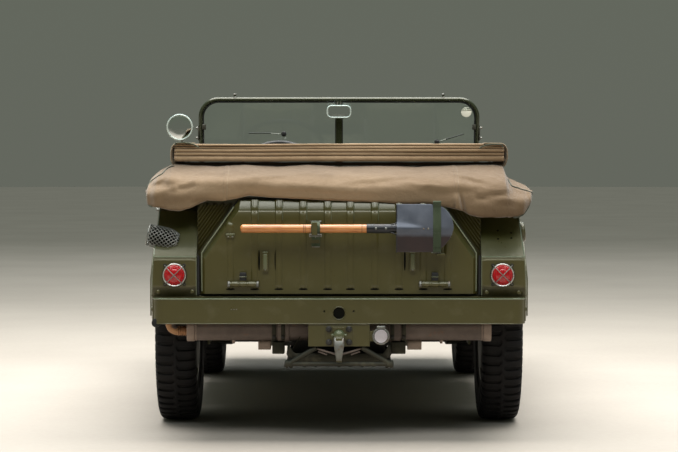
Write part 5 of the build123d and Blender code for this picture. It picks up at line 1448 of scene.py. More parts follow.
# ------------------------------------------------------------------
# tow plate: bolts, latch, hook, socket
# ------------------------------------------------------------------
bm, br, bs = bmesh.new(), bmesh.new(), bmesh.new()
for x in (-0.0385, 0.0385):
    for z in (0.3830, 0.4330):
        bolt(br, (x, -1.8165, z), REAR_VIEW, 0.0082, 0.0075)
# rolled top edge of the plate, in the lighter edge paint: painted highlight line
sweep(bm, [Vector((-0.1175, -1.8050, 0.4518)), Vector((0, -1.8050, 0.4518)), Vector((0.1175, -1.8050, 0.4518))], circle(0.0022, 8), up=Z)
from_bm("tow_plate_edge", bm, EDGE_HIGHLIGHT, "chassis")
from_bm("tow_plate_bolts", br, OILY, "chassis")
# safety latch: a rounded lump over the hook's root with a pin through it, in the lighter olive as painted highlight
bm = bmesh.new()
prof = [(0.0100, -0.004), (0.0205, -0.002), (0.0225, 0.006), (0.0215, 0.016), (0.0170, 0.024), (0.0095, 0.0285), (0.0010, 0.0300)]
lathe(bm, (0, -1.8160, 0.4090), REAR_VIEW, prof, 32)
lathe(bm, (-0.030, -1.8300, 0.4105), X, [(0.0040, 0.0), (0.0062, 0.002), (0.0062, 0.008), (0.0042, 0.010), (0.0042, 0.050), (0.0062, 0.052), (0.0062, 0.058), (0.0040, 0.060)], 16)
block(bm, -0.0135, 0.0135, -1.8480, -1.8300, 0.3920, 0.4040, 0.005, 3)
from_bm("hook_latch", bm, OLIVE_HIGHLIGHT, "chassis")
# the hook itself: a tapering forged tongue with a rounded back
verts, rows = [], []
bm = bmesh.new()
for y, z, w, d in ((-1.832, 0.4080, 0.0150, 0.012), (-1.842, 0.4000, 0.0200, 0.013), (-1.850, 0.3860, 0.0212, 0.014), (-1.853, 0.3660, 0.0195, 0.014), (-1.853, 0.3450, 0.0155, 0.0135), (-1.850, 0.3280, 0.0128, 0.0125), (-1.843, 0.3150, 0.0110, 0.011), (-1.833, 0.3080, 0.0095, 0.009)):
    rings_here = []
    for k in range(16):
        t = 2 * math.pi * k / 16
        e = 0.55
        rings_here.append(bm.verts.new((math.copysign(abs(math.cos(t)) ** e, math.cos(t)) * w * 0.98, y + math.copysign(abs(math.sin(t)) ** e, math.sin(t)) * d * 0.5 + 0.004, z)))
    rows.append(rings_here)
ring_faces(bm, rows)
from_bm("tow_hook_tongue", bm, DULL, "chassis", 50)
# trailer socket: cap with a pale face, its ring of lugs and the hinge of its cover
bm, bs, br = bmesh.new(), bmesh.new(), bmesh.new()
at = (0.160, -1.8195, 0.406)
lathe(bm, at, REAR_VIEW, [(0.0330, -0.012), (0.0335, 0.000), (0.0320, 0.0030), (0.0290, 0.0035), (0.0270, 0.0015), (0.0245, 0.0010)], 40, (True, False))
lathe(bs, at, REAR_VIEW, [(0.0250, -0.002), (0.0250, 0.0035), (0.0240, 0.0050), (0.0225, 0.0052), (0.0215, 0.0040), (0.0100, 0.0046), (0.0005, 0.0048)], 40)
for k in range(10):
    t = 2 * math.pi * (k + 0.5) / 10
    rivet(br, (0.160 + 0.0292 * math.cos(t), -1.8225, 0.406 + 0.0292 * math.sin(t)), REAR_VIEW, 0.0030, 0.0018)
block(bm, 0.148, 0.172, -1.824, -1.808, 0.4330, 0.4435, 0.003, 2)
lathe(bm, (0.144, -1.8200, 0.4415), X, [(0.0045, 0), (0.0045, 0.032)], 14)
from_bm("socket_cap", bm, DULL, "chassis")
from_bm("socket_face", bs, metal("pale_alloy", (0.52, 0.48, 0.50), (0.40, 0.36, 0.38), (0.22, 0.19, 0.18), 0.35, 0.55, 0.5, rust_lo=0.6), "chassis")
from_bm("socket_lugs", br, DULL, "chassis")
# thin braces under the plate and the round ends of the skid bar
bm = bmesh.new()
for s in (1, -1):
    wire(bm, [(s * 0.084, -1.790, 0.357), (s * 0.050, -1.795, 0.346), (s * 0.012, -1.800, 0.336)], 0.0042)
    wire(bm, [(s * 0.080, -1.785, 0.345), (s * 0.046, -1.790, 0.334)], 0.0035)
from_bm("tow_braces", bm, MUFFLER, "chassis")
bm = bmesh.new()
for s in (1, -1):
    lathe(bm, (s * 0.196, -1.790, 0.297), X * s, [(0.0130, -0.002), (0.0155, 0.0), (0.0160, 0.004), (0.0150, 0.009), (0.0090, 0.0125), (0.0005, 0.0135)], 24)
    lathe(bm, (s * 0.190, -1.8035, 0.2985), REAR_VIEW, [(0.010, -0.004), (0.010, 0.0005), (0.0075, 0.0025), (0.0005, 0.003)], 18)
from_bm("skid_ends", bm, BLACK_PAINT, "chassis")
# ribbed sump shield under the engine, behind the skid bar
bm = bmesh.new()
rows = []
for y, drop, half in ((-1.735, 0.052, 0.196), (-1.715, 0.016, 0.200), (-1.690, 0.0, 0.202), (-1.500, -0.004, 0.202), (-1.300, -0.006, 0.196), (-1.262, 0.012, 0.190), (-1.245, 0.042, 0.184)):
    row = []
    for k in range(41):
        t = k / 40 * 2 - 1
        lift = 0.046 * max(0.0, (abs(t) - 0.86) / 0.14) ** 1.6
        rib = 0.0040 * max(0.0, math.cos(math.pi * 9 * t)) ** 2 * (1 if abs(t) < 0.8 and -1.70 < y < -1.28 else 0)
        row.append(Vector((t * half, y, 0.281 + drop + lift - rib)))
    rows.append(row)
verts = [p for r in rows for p in r]
faces = [(i * 41 + j, (i + 1) * 41 + j, (i + 1) * 41 + j + 1, i * 41 + j + 1) for i in range(len(rows) - 1) for j in range(40)]
shield = mesh_from("sump_shield", verts, faces, BLACK_PAINT, None, True, 30)
m = shield.modifiers.new("thickness", "SOLIDIFY")
m.thickness, m.offset = 0.0025, 0.0
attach(shield, "chassis")
bm = bmesh.new()
for s in (1, -1):
    for y in (-1.680, -1.320):
        sweep(bm, [Vector((s * 0.186, y, 0.292)), Vector((s * 0.180, y, 0.345)), Vector((s * 0.150, y, 0.395))], [(-0.0015, -0.012), (0.0015, -0.012), (0.0015, 0.012), (-0.0015, 0.012)], up=Y)
        lathe(bm, (s * 0.186, y, 0.2800), -Z, [(0.0090, -0.003), (0.0090, 0.002), (0.0060, 0.003), (0.0060, 0.007), (0.0030, 0.008)], 12)
from_bm("sump_shield_straps", bm, BLACK_PAINT, "chassis")


# ------------------------------------------------------------------
# windscreen: mirrors, seals, wipers, clamps
# ------------------------------------------------------------------
def screen_y(z):
    return 0.400 - 0.070 * (z - 0.985) / (1.3535 - 0.985)


def rounded_rect(cx, cz, w, h, r, n=8):
    out = []
    for sx, sz, a0 in ((1, 1, 0), (-1, 1, 90), (-1, -1, 180), (1, -1, 270)):
        for i in range(n + 1):
            t = math.radians(a0 + 90 * i / n)
            out.append((cx + sx * (w / 2 - r) + r * math.cos(t), cz + sz * (h / 2 - r) + r * math.sin(t)))
    return out


bm = bmesh.new()
# inner mirror: rim, shell and stem
rim = [Vector((x, 0.2925, z)) for x, z in rounded_rect(0, 1.2945, 0.1090, 0.0545, 0.0200)]
sweep(bm, rim, [(a * 1.0, b * 1.3) for a, b in circle(0.0040, 10)], up=Y, closed=True)
rows = []
for w, h, y in ((0.1060, 0.0515, 0.2935), (0.1060, 0.0515, 0.2985), (0.0940, 0.0420, 0.3050), (0.0600, 0.0220, 0.3085)):
    rows.append([bm.verts.new((x, y, z)) for x, z in rounded_rect(0, 1.2945, w, h, min(0.019, h * 0.45))])
ring_faces(bm, rows, True, True, True)
mirror_rim = from_bm("inner_mirror_rim", bm, PALE, "windshield", 50)
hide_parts("mirrors")
bm = bmesh.new()
for s in (1, -1):
    wire(bm, [(s * 0.0075, 0.3290, 1.3440), (s * 0.0085, 0.3180, 1.3300), (s * 0.0065, 0.3060, 1.3050)], 0.0032, 0.01)
lathe(bm, (0, 0.3050, 1.2990), Y, [(0.0100, -0.002), (0.0120, 0.003), (0.0100, 0.009), (0.0040, 0.011)], 20)
from_bm("inner_mirror_stem", bm, BLACK_PAINT, "windshield")
bm = bmesh.new()
rows = [[bm.verts.new((x, y, z)) for x, z in rounded_rect(0, 1.2945, w, h, r)] for w, h, r, y in ((0.1045, 0.0500, 0.0180, 0.2932), (0.1035, 0.0490, 0.0175, 0.2918), (0.0500, 0.0200, 0.0080, 0.2914))]
ring_faces(bm, rows)
from_bm("inner_mirror_glass", bm, MIRROR, "windshield", 60)

# round outer mirror on its arm
mc = Vector((-0.750, screen_y(1.222) - 0.020, 1.222))
bm = bmesh.new()
ring(bm, mc + Vector((0, -0.0035, 0)), Y, 0.0585, 0.0042, 56, 10)
from_bm("outer_mirror_rim", bm, PALE, "windshield")
bm = bmesh.new()
lathe(bm, mc, REAR_VIEW, [(0.0570, -0.0005), (0.0570, 0.0032), (0.0545, 0.0040), (0.0300, 0.0048), (0.0005, 0.0050)], 56)
from_bm("outer_mirror_glass", bm, MIRROR, "windshield", 60)
bm = bmesh.new()
lathe(bm, mc, Y, [(0.0585, -0.001), (0.0600, 0.003), (0.0560, 0.0085), (0.0400, 0.0125), (0.0180, 0.0145), (0.0110, 0.0190), (0.0060, 0.0200)], 48)
foot = Vector((-0.6650, screen_y(1.080), 1.080))
wire(bm, [mc + Vector((0, 0.0160, 0)), mc + Vector((0.004, 0.0230, -0.030)), Vector((-0.7420, screen_y(1.15), 1.150)), Vector((-0.6900, screen_y(1.09), 1.090)), foot], 0.0050, 0.030, 12)
block(bm, -0.6760, -0.6420, foot.y - 0.0140, foot.y + 0.0140, 1.0660, 1.0940, 0.0040, 3)
for dz in (-0.008, 0.008):
    bolt(bm, (-0.6590, foot.y - 0.0140, 1.080 + dz), REAR_VIEW, 0.0040, 0.0030, False)
from_bm("outer_mirror_arm", bm, BLACK_PAINT, "windshield")

# rubber seal inside the frame, and down both sides of the middle post
H_IN = 0.6525 - 0.0125
bm = bmesh.new()
for s in (1, -1):
    x_post, x_side, r = 0.0150, H_IN, 0.074
    z0, z1 = 1.0065, 1.3410
    flat = [(x_post, z0), (x_side, z0), (x_side, z1 - r)]
    flat += [(x_side - r + r * math.cos(t), z1 - r + r * math.sin(t)) for t in (math.pi / 2 * i / 10 for i in range(1, 11))]
    flat += [(x_post, z1)]
    pts = [Vector((s * x, screen_y(z), z)) for x, z in flat]
    full = []
    for a, b in zip(pts, pts[1:] + pts[:1]):
        full += [a.lerp(b, k / 3) for k in range(3)]
    sweep(bm, full, [(a * 0.8, b * 1.1) for a, b in circle(0.0045, 8)], up=Y, closed=True)
from_bm("screen_seals", bm, BLACK_RUBBER, "windshield")
bm, bb = bmesh.new(), bmesh.new()
for s in (1, -1):
    lathe(bm, (s * 0.490, 0.330, 1.3600), Z, [(0.0065, -0.004), (0.0082, 0.0), (0.0082, 0.004), (0.0050, 0.006), (0.0050, 0.014), (0.0076, 0.0150), (0.0076, 0.0190), (0.0040, 0.0205)], 18)
    z = 1.224
    block(bb, min(s * 0.628, s * 0.6465), max(s * 0.628, s * 0.6465), screen_y(z) - 0.014, screen_y(z) + 0.010, z - 0.013, z + 0.012, 0.003, 2)
    block(bb, min(s * 0.659, s * 0.6655), max(s * 0.659, s * 0.6655), screen_y(1.195) - 0.012, screen_y(1.195) + 0.012, 1.160, 1.232, 0.003, 2)
    for zz in (1.2190, 1.1720):
        lathe(bm, (s * 0.6650, screen_y(zz), zz), X * s, [(0.0070, -0.001), (0.0075, 0.003), (0.0050, 0.0045), (0.0050, 0.0095), (0.0030, 0.011)], 14)
    # wing nuts where the frame bolts to its brackets
    lathe(bm, (s * 0.7000, 0.400, 0.975), X * s, [(0.0110, -0.002), (0.0110, 0.004), (0.0070, 0.006), (0.0070, 0.012), (0.0040, 0.014)], 18)
from_bm("screen_studs", bm, DULL, "windshield")
from_bm("screen_clamps", bb, BLACK_PAINT, "windshield")
# pale blank disc stuck to the glass
bm = bmesh.new()
lathe(bm, (0.5994, screen_y(1.2946) - 0.0024, 1.2946), REAR_VIEW, [(0.0245, -0.0006), (0.0245, 0.0006), (0.0236, 0.0010), (0.0005, 0.0010)], 40)
from_bm("blank_disc", bm, WHITE, "windshield")
# hand wipers: knob inside, arm and blade outside
bm, bk = bmesh.new(), bmesh.new()
for kx, kz, ax, az, bx0, bz0, bx1, bz1 in ((-0.260, 1.191, -0.3700, 1.1955, -0.4250, 1.1955, -0.3210, 1.1955), (0.4626, 1.153, 0.5450, 1.178, 0.5050, 1.1660, 0.5900, 1.1910)):
    y = screen_y(kz)
    lathe(bk, (kx, y - 0.002, kz), REAR_VIEW, [(0.0120, -0.004), (0.0125, 0.004), (0.0090, 0.006), (0.0085, 0.014), (0.0060, 0.0165), (0.0005, 0.0170)], 22)
    lathe(bm, (kx, y + 0.002, kz), Y, [(0.0080, -0.004), (0.0085, 0.004), (0.0050, 0.009), (0.0020, 0.010)], 18)
    wire(bm, [(kx, y + 0.0085, kz), ((kx + ax) / 2, screen_y((kz + az) / 2) + 0.0105, (kz + az) / 2), (ax, screen_y(az) + 0.0085, az)], 0.0019, 0.02)
    p0, p1 = Vector((bx0, screen_y(bz0) + 0.0062, bz0)), Vector((bx1, screen_y(bz1) + 0.0062, bz1))
    sweep(bk, [p0, p0.lerp(p1, 0.5), p1], [(-0.0030, 0.0022), (-0.0008, -0.0030), (0.0008, -0.0030), (0.0030, 0.0022)], up=Y)
from_bm("wiper_arms", bm, DULL, "windshield")
from_bm("wiper_rubber", bk, BLACK_RUBBER, "windshield")


# ------------------------------------------------------------------
# cockpit: dials, switches, mats, lever knobs, steering hub
# ------------------------------------------------------------------
def dial(x, z, r, y, ticks, turn):
    """A round instrument: bezel, face, plain tick marks and a needle."""
    a, b, c = bmesh.new(), bmesh.new(), bmesh.new()
    lathe(a, (x, y, z), REAR_VIEW, [(r * 1.12, -0.004), (r * 1.12, 0.002), (r * 1.06, 0.0055), (r * 0.97, 0.0050), (r * 0.95, 0.0005)], 48, (True, False))
    lathe(b, (x, y, z), REAR_VIEW, [(r * 0.96, -0.002), (r * 0.96, 0.0004), (r * 0.60, 0.0008), (0.0005, 0.0008)], 48)
    for k in range(ticks):
        t = math.radians(-135 + 270 * k / (ticks - 1))
        long = 0.16 if k % 2 == 0 else 0.09
        u = Vector((math.sin(t), 0, math.cos(t)))
        p0, p1 = Vector((x, y - 0.0012, z)) + u * r * 0.90, Vector((x, y - 0.0012, z)) + u * r * (0.90 - long)
        sweep(c, [p0, p1], [(-0.0008, -0.0003), (0.0008, -0.0003), (0.0008, 0.0003), (-0.0008, 0.0003)], up=Y)
    u = Vector((math.sin(turn), 0, math.cos(turn)))
    o = Vector((x, y - 0.0020, z))
    sweep(c, [o - u * r * 0.15, o + u * r * 0.70], [(-0.0009, -0.0004), (0.0009, -0.0004), (0.0009, 0.0004), (-0.0009, 0.0004)], up=Y)
    lathe(a, (x, y - 0.001, z), REAR_VIEW, [(r * 0.11, 0), (r * 0.11, 0.002), (r * 0.06, 0.003)], 16)
    return a, b, c


for name, x, r, ticks, turn in (("speed", -0.280, 0.052, 13, -2.2), ("fuel", -0.195, 0.017, 5, 0.5)):
    a, b, c = dial(x, 0.852, r, 0.3140, ticks, turn)
    from_bm(name + "_dial_bezel", a, STEEL, "chassis")
    from_bm(name + "_dial_face", b, BLACK_GLOSS, "chassis")
    from_bm(name + "_dial_marks", c, WHITE, "chassis")
bm, bk, br = bmesh.new(), bmesh.new(), bmesh.new()
for k, x in enumerate((-0.395, -0.370, -0.170 + 0.0, -0.155)):
    z = (0.880, 0.880, 0.822, 0.880)[k]
    lathe(bk, (x, 0.3180, z), REAR_VIEW, [(0.0040, -0.001), (0.0040, 0.010), (0.0075, 0.012), (0.0080, 0.020), (0.0060, 0.024), (0.0005, 0.025)], 18)
for k, x in enumerate((-0.350, -0.335, -0.230)):
    lathe(br, (x, 0.3178, 0.8200), REAR_VIEW, [(0.0060, -0.001), (0.0060, 0.003), (0.0045, 0.0055), (0.0005, 0.0065)], 16)
# glove box door with a turn catch and its tongue, and rivets round the panel
block(bm, 0.075, 0.365, 0.3130, 0.3185, 0.8560, 0.8990, 0.003, 2)
lathe(bm, (0.220, 0.3130, 0.8640), REAR_VIEW, [(0.0090, -0.001), (0.0090, 0.004), (0.0075, 0.006)], 20)
block(bm, 0.2175, 0.2225, 0.3020, 0.3080, 0.8560, 0.8720, 0.0015, 2)
for x in (-0.405, -0.155, 0.070, 0.370):
    for z in (0.8080, 0.8970):
        if x > 0 and z < 0.85:
            continue
        rivet(bm, (x, 0.3180, z), REAR_VIEW, 0.0040, 0.0022)
from_bm("dash_fittings", bm, OLIVE_HIGHLIGHT, "chassis")
from_bm("dash_knobs", bk, BLACK_GLOSS, "chassis")
from_bm("dash_warning_lamps", br, RED, "chassis")

# ribbed rubber mats in the footwells, wrapped clear of the seat feet
bm = bmesh.new()
for x0, x1 in ((-0.688, -0.124), (0.124, 0.688)):
    block(bm, x0, x1, -0.095, 0.600, 0.3502, 0.3545, 0.0015, 1)
    n = 26
    for k in range(n):
        x = x0 + 0.014 + (x1 - x0 - 0.028) * k / (n - 1)
        sweep(bm, [Vector((x, -0.080, 0.3540)), Vector((x, 0.585, 0.3540))], [(-0.0050, 0), (-0.0032, 0.0030), (0.0032, 0.0030), (0.0050, 0)], up=Z)
for x0, x1 in ((-0.500, -0.124), (0.124, 0.500)):
    block(bm, x0, x1, -0.830, -0.585, 0.3502, 0.3545, 0.0015, 1)
    for k in range(17):
        x = x0 + 0.014 + (x1 - x0 - 0.028) * k / 16
        sweep(bm, [Vector((x, -0.820, 0.3540)), Vector((x, -0.595, 0.3540))], [(-0.0050, 0), (-0.0032, 0.0030), (0.0032, 0.0030), (0.0050, 0)], up=Z)
from_bm("floor_mats", bm, BLACK_RUBBER, "chassis")

# steering hub: ring, horn button and the clamp under it
SC = Vector((-0.274, -0.030, 0.994))
SUP = Vector((0, -math.cos(math.radians(35)), math.sin(math.radians(35))))
bm, bk = bmesh.new(), bmesh.new()
lathe(bm, SC, SUP, [(0.0350, 0.003), (0.0350, 0.0085), (0.0320, 0.0100), (0.0290, 0.0095)], 36, (True, False))
lathe(bk, SC, SUP, [(0.0292, 0.004), (0.0292, 0.0105), (0.0260, 0.0135), (0.0140, 0.0165), (0.0005, 0.0172)], 36)
from_bm("horn_ring", bm, STEEL, "steering_wheel")
from_bm("horn_button", bk, BLACK_GLOSS, "steering_wheel", 60)
bm = bmesh.new()
for d in (-0.135, -0.330):
    lathe(bm, SC, SUP, [(0.0195, d - 0.018), (0.0255, d - 0.015), (0.0265, d), (0.0255, d + 0.015), (0.0195, d + 0.018)], 24)
wire(bm, [SC + SUP * -0.105 + Vector((-0.018, 0, 0)), SC + SUP * -0.100 + Vector((-0.070, 0, 0.004)), SC + SUP * -0.094 + Vector((-0.115, 0, 0.010))], 0.0035, 0.02)
lathe(bm, SC + SUP * -0.094 + Vector((-0.112, 0, 0.010)), -X, [(0.0035, 0), (0.0075, 0.002), (0.0080, 0.014), (0.0050, 0.018)], 16)
from_bm("column_fittings", bm, BLACK_GLOSS, "chassis")
# lever knobs, boots and the hand brake grip
bm, bk = bmesh.new(), bmesh.new()
for c, r in (((-0.020, 0.020, 0.712), 0.0225), ((0.070, -0.020, 0.618), 0.0155)):
    prof = [(r * math.sin(math.radians(a)) + 0.0003, -r * math.cos(math.radians(a))) for a in range(8, 181, 14)]
    lathe(bk, c, Z, prof, 28)
for x, y, r in ((0.0, 0.060, 0.030), (0.060, 0.0, 0.022), (-0.070, -0.060, 0.024)):
    lathe(bm, (x, y, 0.4795), Z, [(r, 0), (r, 0.004), (r * 0.9, 0.008), (r * 0.94, 0.012), (r * 0.72, 0.017), (r * 0.76, 0.021), (r * 0.52, 0.027), (r * 0.55, 0.031), (0.0105, 0.036)], 24)
from_bm("lever_knobs", bk, BLACK_GLOSS, "chassis", 60)
from_bm("lever_boots", bm, BLACK_RUBBER, "chassis")
# pedal rubbers
bm = bmesh.new()
for x in (-0.400, -0.310, -0.190):
    for k in range(5):
        y0, z0 = 0.5030 - 0.0030 * k, 0.4540 + 0.0100 * k
        sweep(bm, [Vector((x - 0.026, y0 - 0.0100, z0)), Vector((x + 0.026, y0 - 0.0100, z0))], circle(0.0032, 6))
from_bm("pedal_rubbers", bm, BLACK_RUBBER, "chassis")
# wing nuts on the hood bow pivots
bm = bmesh.new()
for s in (1, -1):
    lathe(bm, (s * 0.7390, -0.905, 0.955), X * s, [(0.0130, -0.003), (0.0130, 0.003), (0.0085, 0.005), (0.0085, 0.010), (0.0040, 0.012)], 20)
    for k in (1, -1):
        block(bm, min(s * 0.7440, s * 0.7480), max(s * 0.7440, s * 0.7480), -0.905 + k * 0.014 - 0.008, -0.905 + k * 0.014 + 0.008, 0.950, 0.960, 0.002, 2)
from_bm("bow_wing_nuts", bm, DULL, "chassis")


# ------------------------------------------------------------------
# body sides: wheel arch lips, sills, studs, hinges, filler cap
# ------------------------------------------------------------------
def plan_half(y):
    if y > 1.2:
        return 0.780 - (y - 1.2) * 0.1476
    if y > -0.3:
        return 0.780
    if y > -1.18:
        return 0.780 - (-0.3 - y) * 0.012 / 0.88
    return 0.768 - (-1.18 - y) * 0.0889


def side_surface(y, z):
    return plan_half(y) - max(z - 0.600, 0) * 0.115


bm = bmesh.new()
for s in (1, -1):
    for yc, r, a0, a1 in ((1.050, 0.4320, -2, 182), (-1.010, 0.4270, -2, 167)):
        pts = []
        for i in range(49):
            t = math.radians(a0 + (a1 - a0) * i / 48)
            y, z = yc + r * math.cos(t), 0.361 + r * math.sin(t)
            if z < 0.348:
                continue
            pts.append(Vector((s * (side_surface(y, z) + 0.0005), y, z)))
        sweep(bm, pts, circle(0.0042, 8))
    # rolled sill under the door
    pts = [Vector((s * (side_surface(y, 0.347) + 0.0002), y, 0.3475)) for y in [-0.575 + 1.190 * i / 16 for i in range(17)]]
    sweep(bm, pts, circle(0.0040, 8))
from_bm("arch_lips", bm, OLIVE, "chassis")
bm, br = bmesh.new(), bmesh.new()
for s in (1, -1):
    for y in (-0.62, -0.76, -1.08, -1.22, -1.36):
        z = 0.876
        n = Vector((s, 0, 0.115)).normalized()
        at = Vector((s * side_surface(y, z), y, z))
        lathe(bm, at, n, [(0.0085, -0.001), (0.0085, 0.0012), (0.0060, 0.0018), (0.0042, 0.0020), (0.0042, 0.0070), (0.0052, 0.0078), (0.0052, 0.0098), (0.0020, 0.0105)], 16)
    # a point ahead of the rear arch; nothing is built on it
    a = Vector((s * side_surface(-0.560, 0.700), -0.560, 0.700))
from_bm("canvas_studs", bm, DULL, "chassis")
for side, s in (("left", -1), ("right", 1)):
    bm = bmesh.new()
    for z in (0.480, 0.720):
        lathe(bm, (s * 0.7880, 0.4205, z - 0.022), Z, [(0.0050, 0), (0.0075, 0.002), (0.0075, 0.042), (0.0050, 0.044)], 16)
        for y in (0.345, 0.385):
            rivet(bm, (s * 0.7862, y, z), X * s, 0.0055, 0.003)
    hx = side_surface(-0.43, 0.742)
    lathe(bm, (s * hx, -0.430, 0.742), X * s, [(0.0200, -0.002), (0.0200, 0.0015), (0.0165, 0.0045), (0.0100, 0.0055)], 28)
    rivet(bm, (s * (hx + 0.0230), -0.362, 0.742), X * s, 0.0045, 0.002)
    # inside: latch and pull
    block(bm, min(s * 0.728, s * 0.742), max(s * 0.728, s * 0.742), -0.470, -0.420, 0.745, 0.785, 0.004, 2)
    wire(bm, [(s * 0.7380, -0.300, 0.762), (s * 0.7200, -0.295, 0.762), (s * 0.7180, -0.220, 0.762), (s * 0.7380, -0.215, 0.762)], 0.0050, 0.015)
    # rolled top edge
    top = [(-0.435, 0.800), (-0.30, 0.800), (-0.10, 0.800), (0.10, 0.800), (0.280, 0.800)]
    sweep(bm, [Vector((s * (side_surface(y, z) - 0.0195), y, z + 0.0005)) for y, z in top], [(a * 4.2, b) for a, b in circle(0.0048, 12)], up=Z)
    from_bm("door_details_" + side, bm, OLIVE, "door_" + side)
# fuel filler on the right side, behind the door
bm = bmesh.new()
y, z = -1.420, 0.790
n = Vector((1, 0, 0.115)).normalized()
at = Vector((side_surface(y, z), y, z))
lathe(bm, at, n, [(0.0440, -0.002), (0.0440, 0.0015), (0.0410, 0.0030), (0.0385, 0.0030), (0.0380, 0.0100), (0.0350, 0.0135), (0.0180, 0.0150), (0.0005, 0.0152)], 36)
for k in range(12):
    t = 2 * math.pi * k / 12
    u, v, a = frame_of(n)
    rivet(bm, at + n * 0.0060 + (u * math.cos(t) + v * math.sin(t)) * 0.0372, (u * math.cos(t) + v * math.sin(t)), 0.0035, 0.002)
from_bm("filler_cap", bm, OLIVE, "chassis")


# ------------------------------------------------------------------
# front: headlamps, indicators, hood catches, bumper
# ------------------------------------------------------------------
done = False
for side, s in (("left", -1), ("right", 1)):
    x, z, r = s * 0.530, 0.680, 0.088
    bm = bmesh.new()
    lathe(bm, (x, 1.700, z), Y, [(0.0830, -0.055), (0.0870, -0.050), (0.0985, 0.000), (0.0990, 0.055), (0.0975, 0.066), (0.0940, 0.0715), (0.0885, 0.0725), (0.0830, 0.0690), (0.0815, 0.0620)], 56, (True, False))
    rivet(bm, (x, 1.7660, z - 0.0960), -Z, 0.0045, 0.003)
    o = from_bm("headlamp_rim_" + side, bm, OLIVE, "chassis", 50)
    if not done:
        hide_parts("headlamps")
        done = True
    bm = bmesh.new()
    lathe(bm, (x, 1.700, z), Y, [(0.0820, 0.058), (0.0822, 0.0640), (0.0780, 0.0700), (0.0650, 0.0760), (0.0450, 0.0810), (0.0220, 0.0838), (0.0005, 0.0845)], 56)
    from_bm("headlamp_lens_" + side, bm, CLEAR, "chassis", 60)
    ix, iz = s * 0.620, 0.905
    bm = bmesh.new()
    lathe(bm, (ix, 1.560, iz), Y, [(0.0005, -0.020), (0.0120, -0.018), (0.0220, -0.008), (0.0275, 0.008), (0.0285, 0.022), (0.0270, 0.026)], 36, (True, True))
    lathe(bm, (ix, 1.580, 0.845), Z, [(0.0190, 0.0), (0.0180, 0.006), (0.0110, 0.018), (0.0090, 0.040)], 24)
    from_bm("indicator_body_" + side, bm, OLIVE, "chassis", 50)
    bm = bmesh.new()
    lathe(bm, (ix, 1.560, iz), Y, [(0.0255, 0.024), (0.0255, 0.029), (0.0235, 0.034), (0.0160, 0.0385), (0.0060, 0.0400), (0.0005, 0.0402)], 36)
    from_bm("indicator_lens_" + side, bm, AMBER, "chassis", 60)
bm, bk = bmesh.new(), bmesh.new()
front = [Vector((-p.x, -p.y, p.z)) for p in plan_arc(0.7125, -1.8105, 0.0535, -1.7350, 0.4985)]
sweep(bm, front, circle(0.0030, 8), up=Z)
for x in (-0.55, -0.15, 0.15, 0.55):
    lathe(bm, (x, 1.8118, 0.450), Y, [(0.0140, -0.001), (0.0138, 0.002), (0.0090, 0.0055), (0.0005, 0.0065)], 20)
from_bm("front_bumper_lip", bm, OLIVE, "chassis")
# catches that hold the hood down in front, and pads for the folded screen
bm, bh = bmesh.new(), bmesh.new()
for s in (1, -1):
    block(bk, s * 0.430 - 0.030, s * 0.430 + 0.030, 0.745, 0.790, 0.9300, 0.9480, 0.006, 3)
    lathe(bh, (s * 0.300 - 0.040, 0.650, 0.930), X, [(0.0095, 0), (0.0125, 0.002), (0.0125, 0.078), (0.0095, 0.080)], 20)
    for dx in (-0.025, 0.025):
        rivet(bh, (s * 0.300 + dx, 0.665, 0.9395), Z, 0.0055, 0.003)
from_bm("hood_hinges", bh, OLIVE, "hood")
from_bm("screen_rest_pads", bk, BLACK_RUBBER, "hood")
for s in (1, -1):
    wire(bm, [(s * 0.300 - 0.022, 1.7480, 0.7350), (s * 0.300 - 0.022, 1.7640, 0.7150), (s * 0.300 + 0.022, 1.7640, 0.7150), (s * 0.300 + 0.022, 1.7480, 0.7350)], 0.0040, 0.008)
from_bm("hood_pulls", bm, DULL, "hood")


# ------------------------------------------------------------------
# engine bay, seen when the lid is down
# ------------------------------------------------------------------
bm, bk, ba = bmesh.new(), bmesh.new(), bmesh.new()
for k in range(28):
    t = 2 * math.pi * k / 28
    u = Vector((math.cos(t), 0, math.sin(t)))
    p0, p1 = Vector((0, -1.5925, 0.600)) + u * 0.064, Vector((0, -1.5925, 0.600)) + u * 0.142
    sweep(ba, [p0, p1], [(-0.0012, -0.004), (0.0012, -0.004), (0.0012, 0.004), (-0.0012, 0.004)], up=Y)
for r in (0.064, 0.103, 0.144):
    ring(ba, (0, -1.5945, 0.600), Y, r, 0.0030, 56, 8)
lathe(bm, (0, -1.6040, 0.430), REAR_VIEW, [(0.0700, -0.010), (0.0720, -0.002), (0.0640, 0.002), (0.0640, 0.006), (0.0720, 0.010), (0.0700, 0.014), (0.0300, 0.014), (0.0280, 0.022), (0.0120, 0.024)], 48)
lathe(bm, (-0.040, -1.6040, 0.600), REAR_VIEW, [(0.0560, -0.006), (0.0580, -0.002), (0.0500, 0.002), (0.0500, 0.005), (0.0580, 0.009), (0.0560, 0.012), (0.0200, 0.012), (0.0180, 0.020), (0.0080, 0.022)], 40)
belt = []
for c, r, a0, a1 in ((Vector((0, 0, 0.430)), 0.068, 190, 355), (Vector((-0.040, 0, 0.600)), 0.054, -5, 190)):
    for i in range(19):
        t = math.radians(a0 + (a1 - a0) * i / 18)
        belt.append(Vector((c.x + r * math.cos(t), -1.6085, c.z + r * math.sin(t))))
sweep(bk, belt, [(-0.005, -0.004), (0.005, -0.004), (0.004, 0.004), (-0.004, 0.004)], up=Y, closed=True)
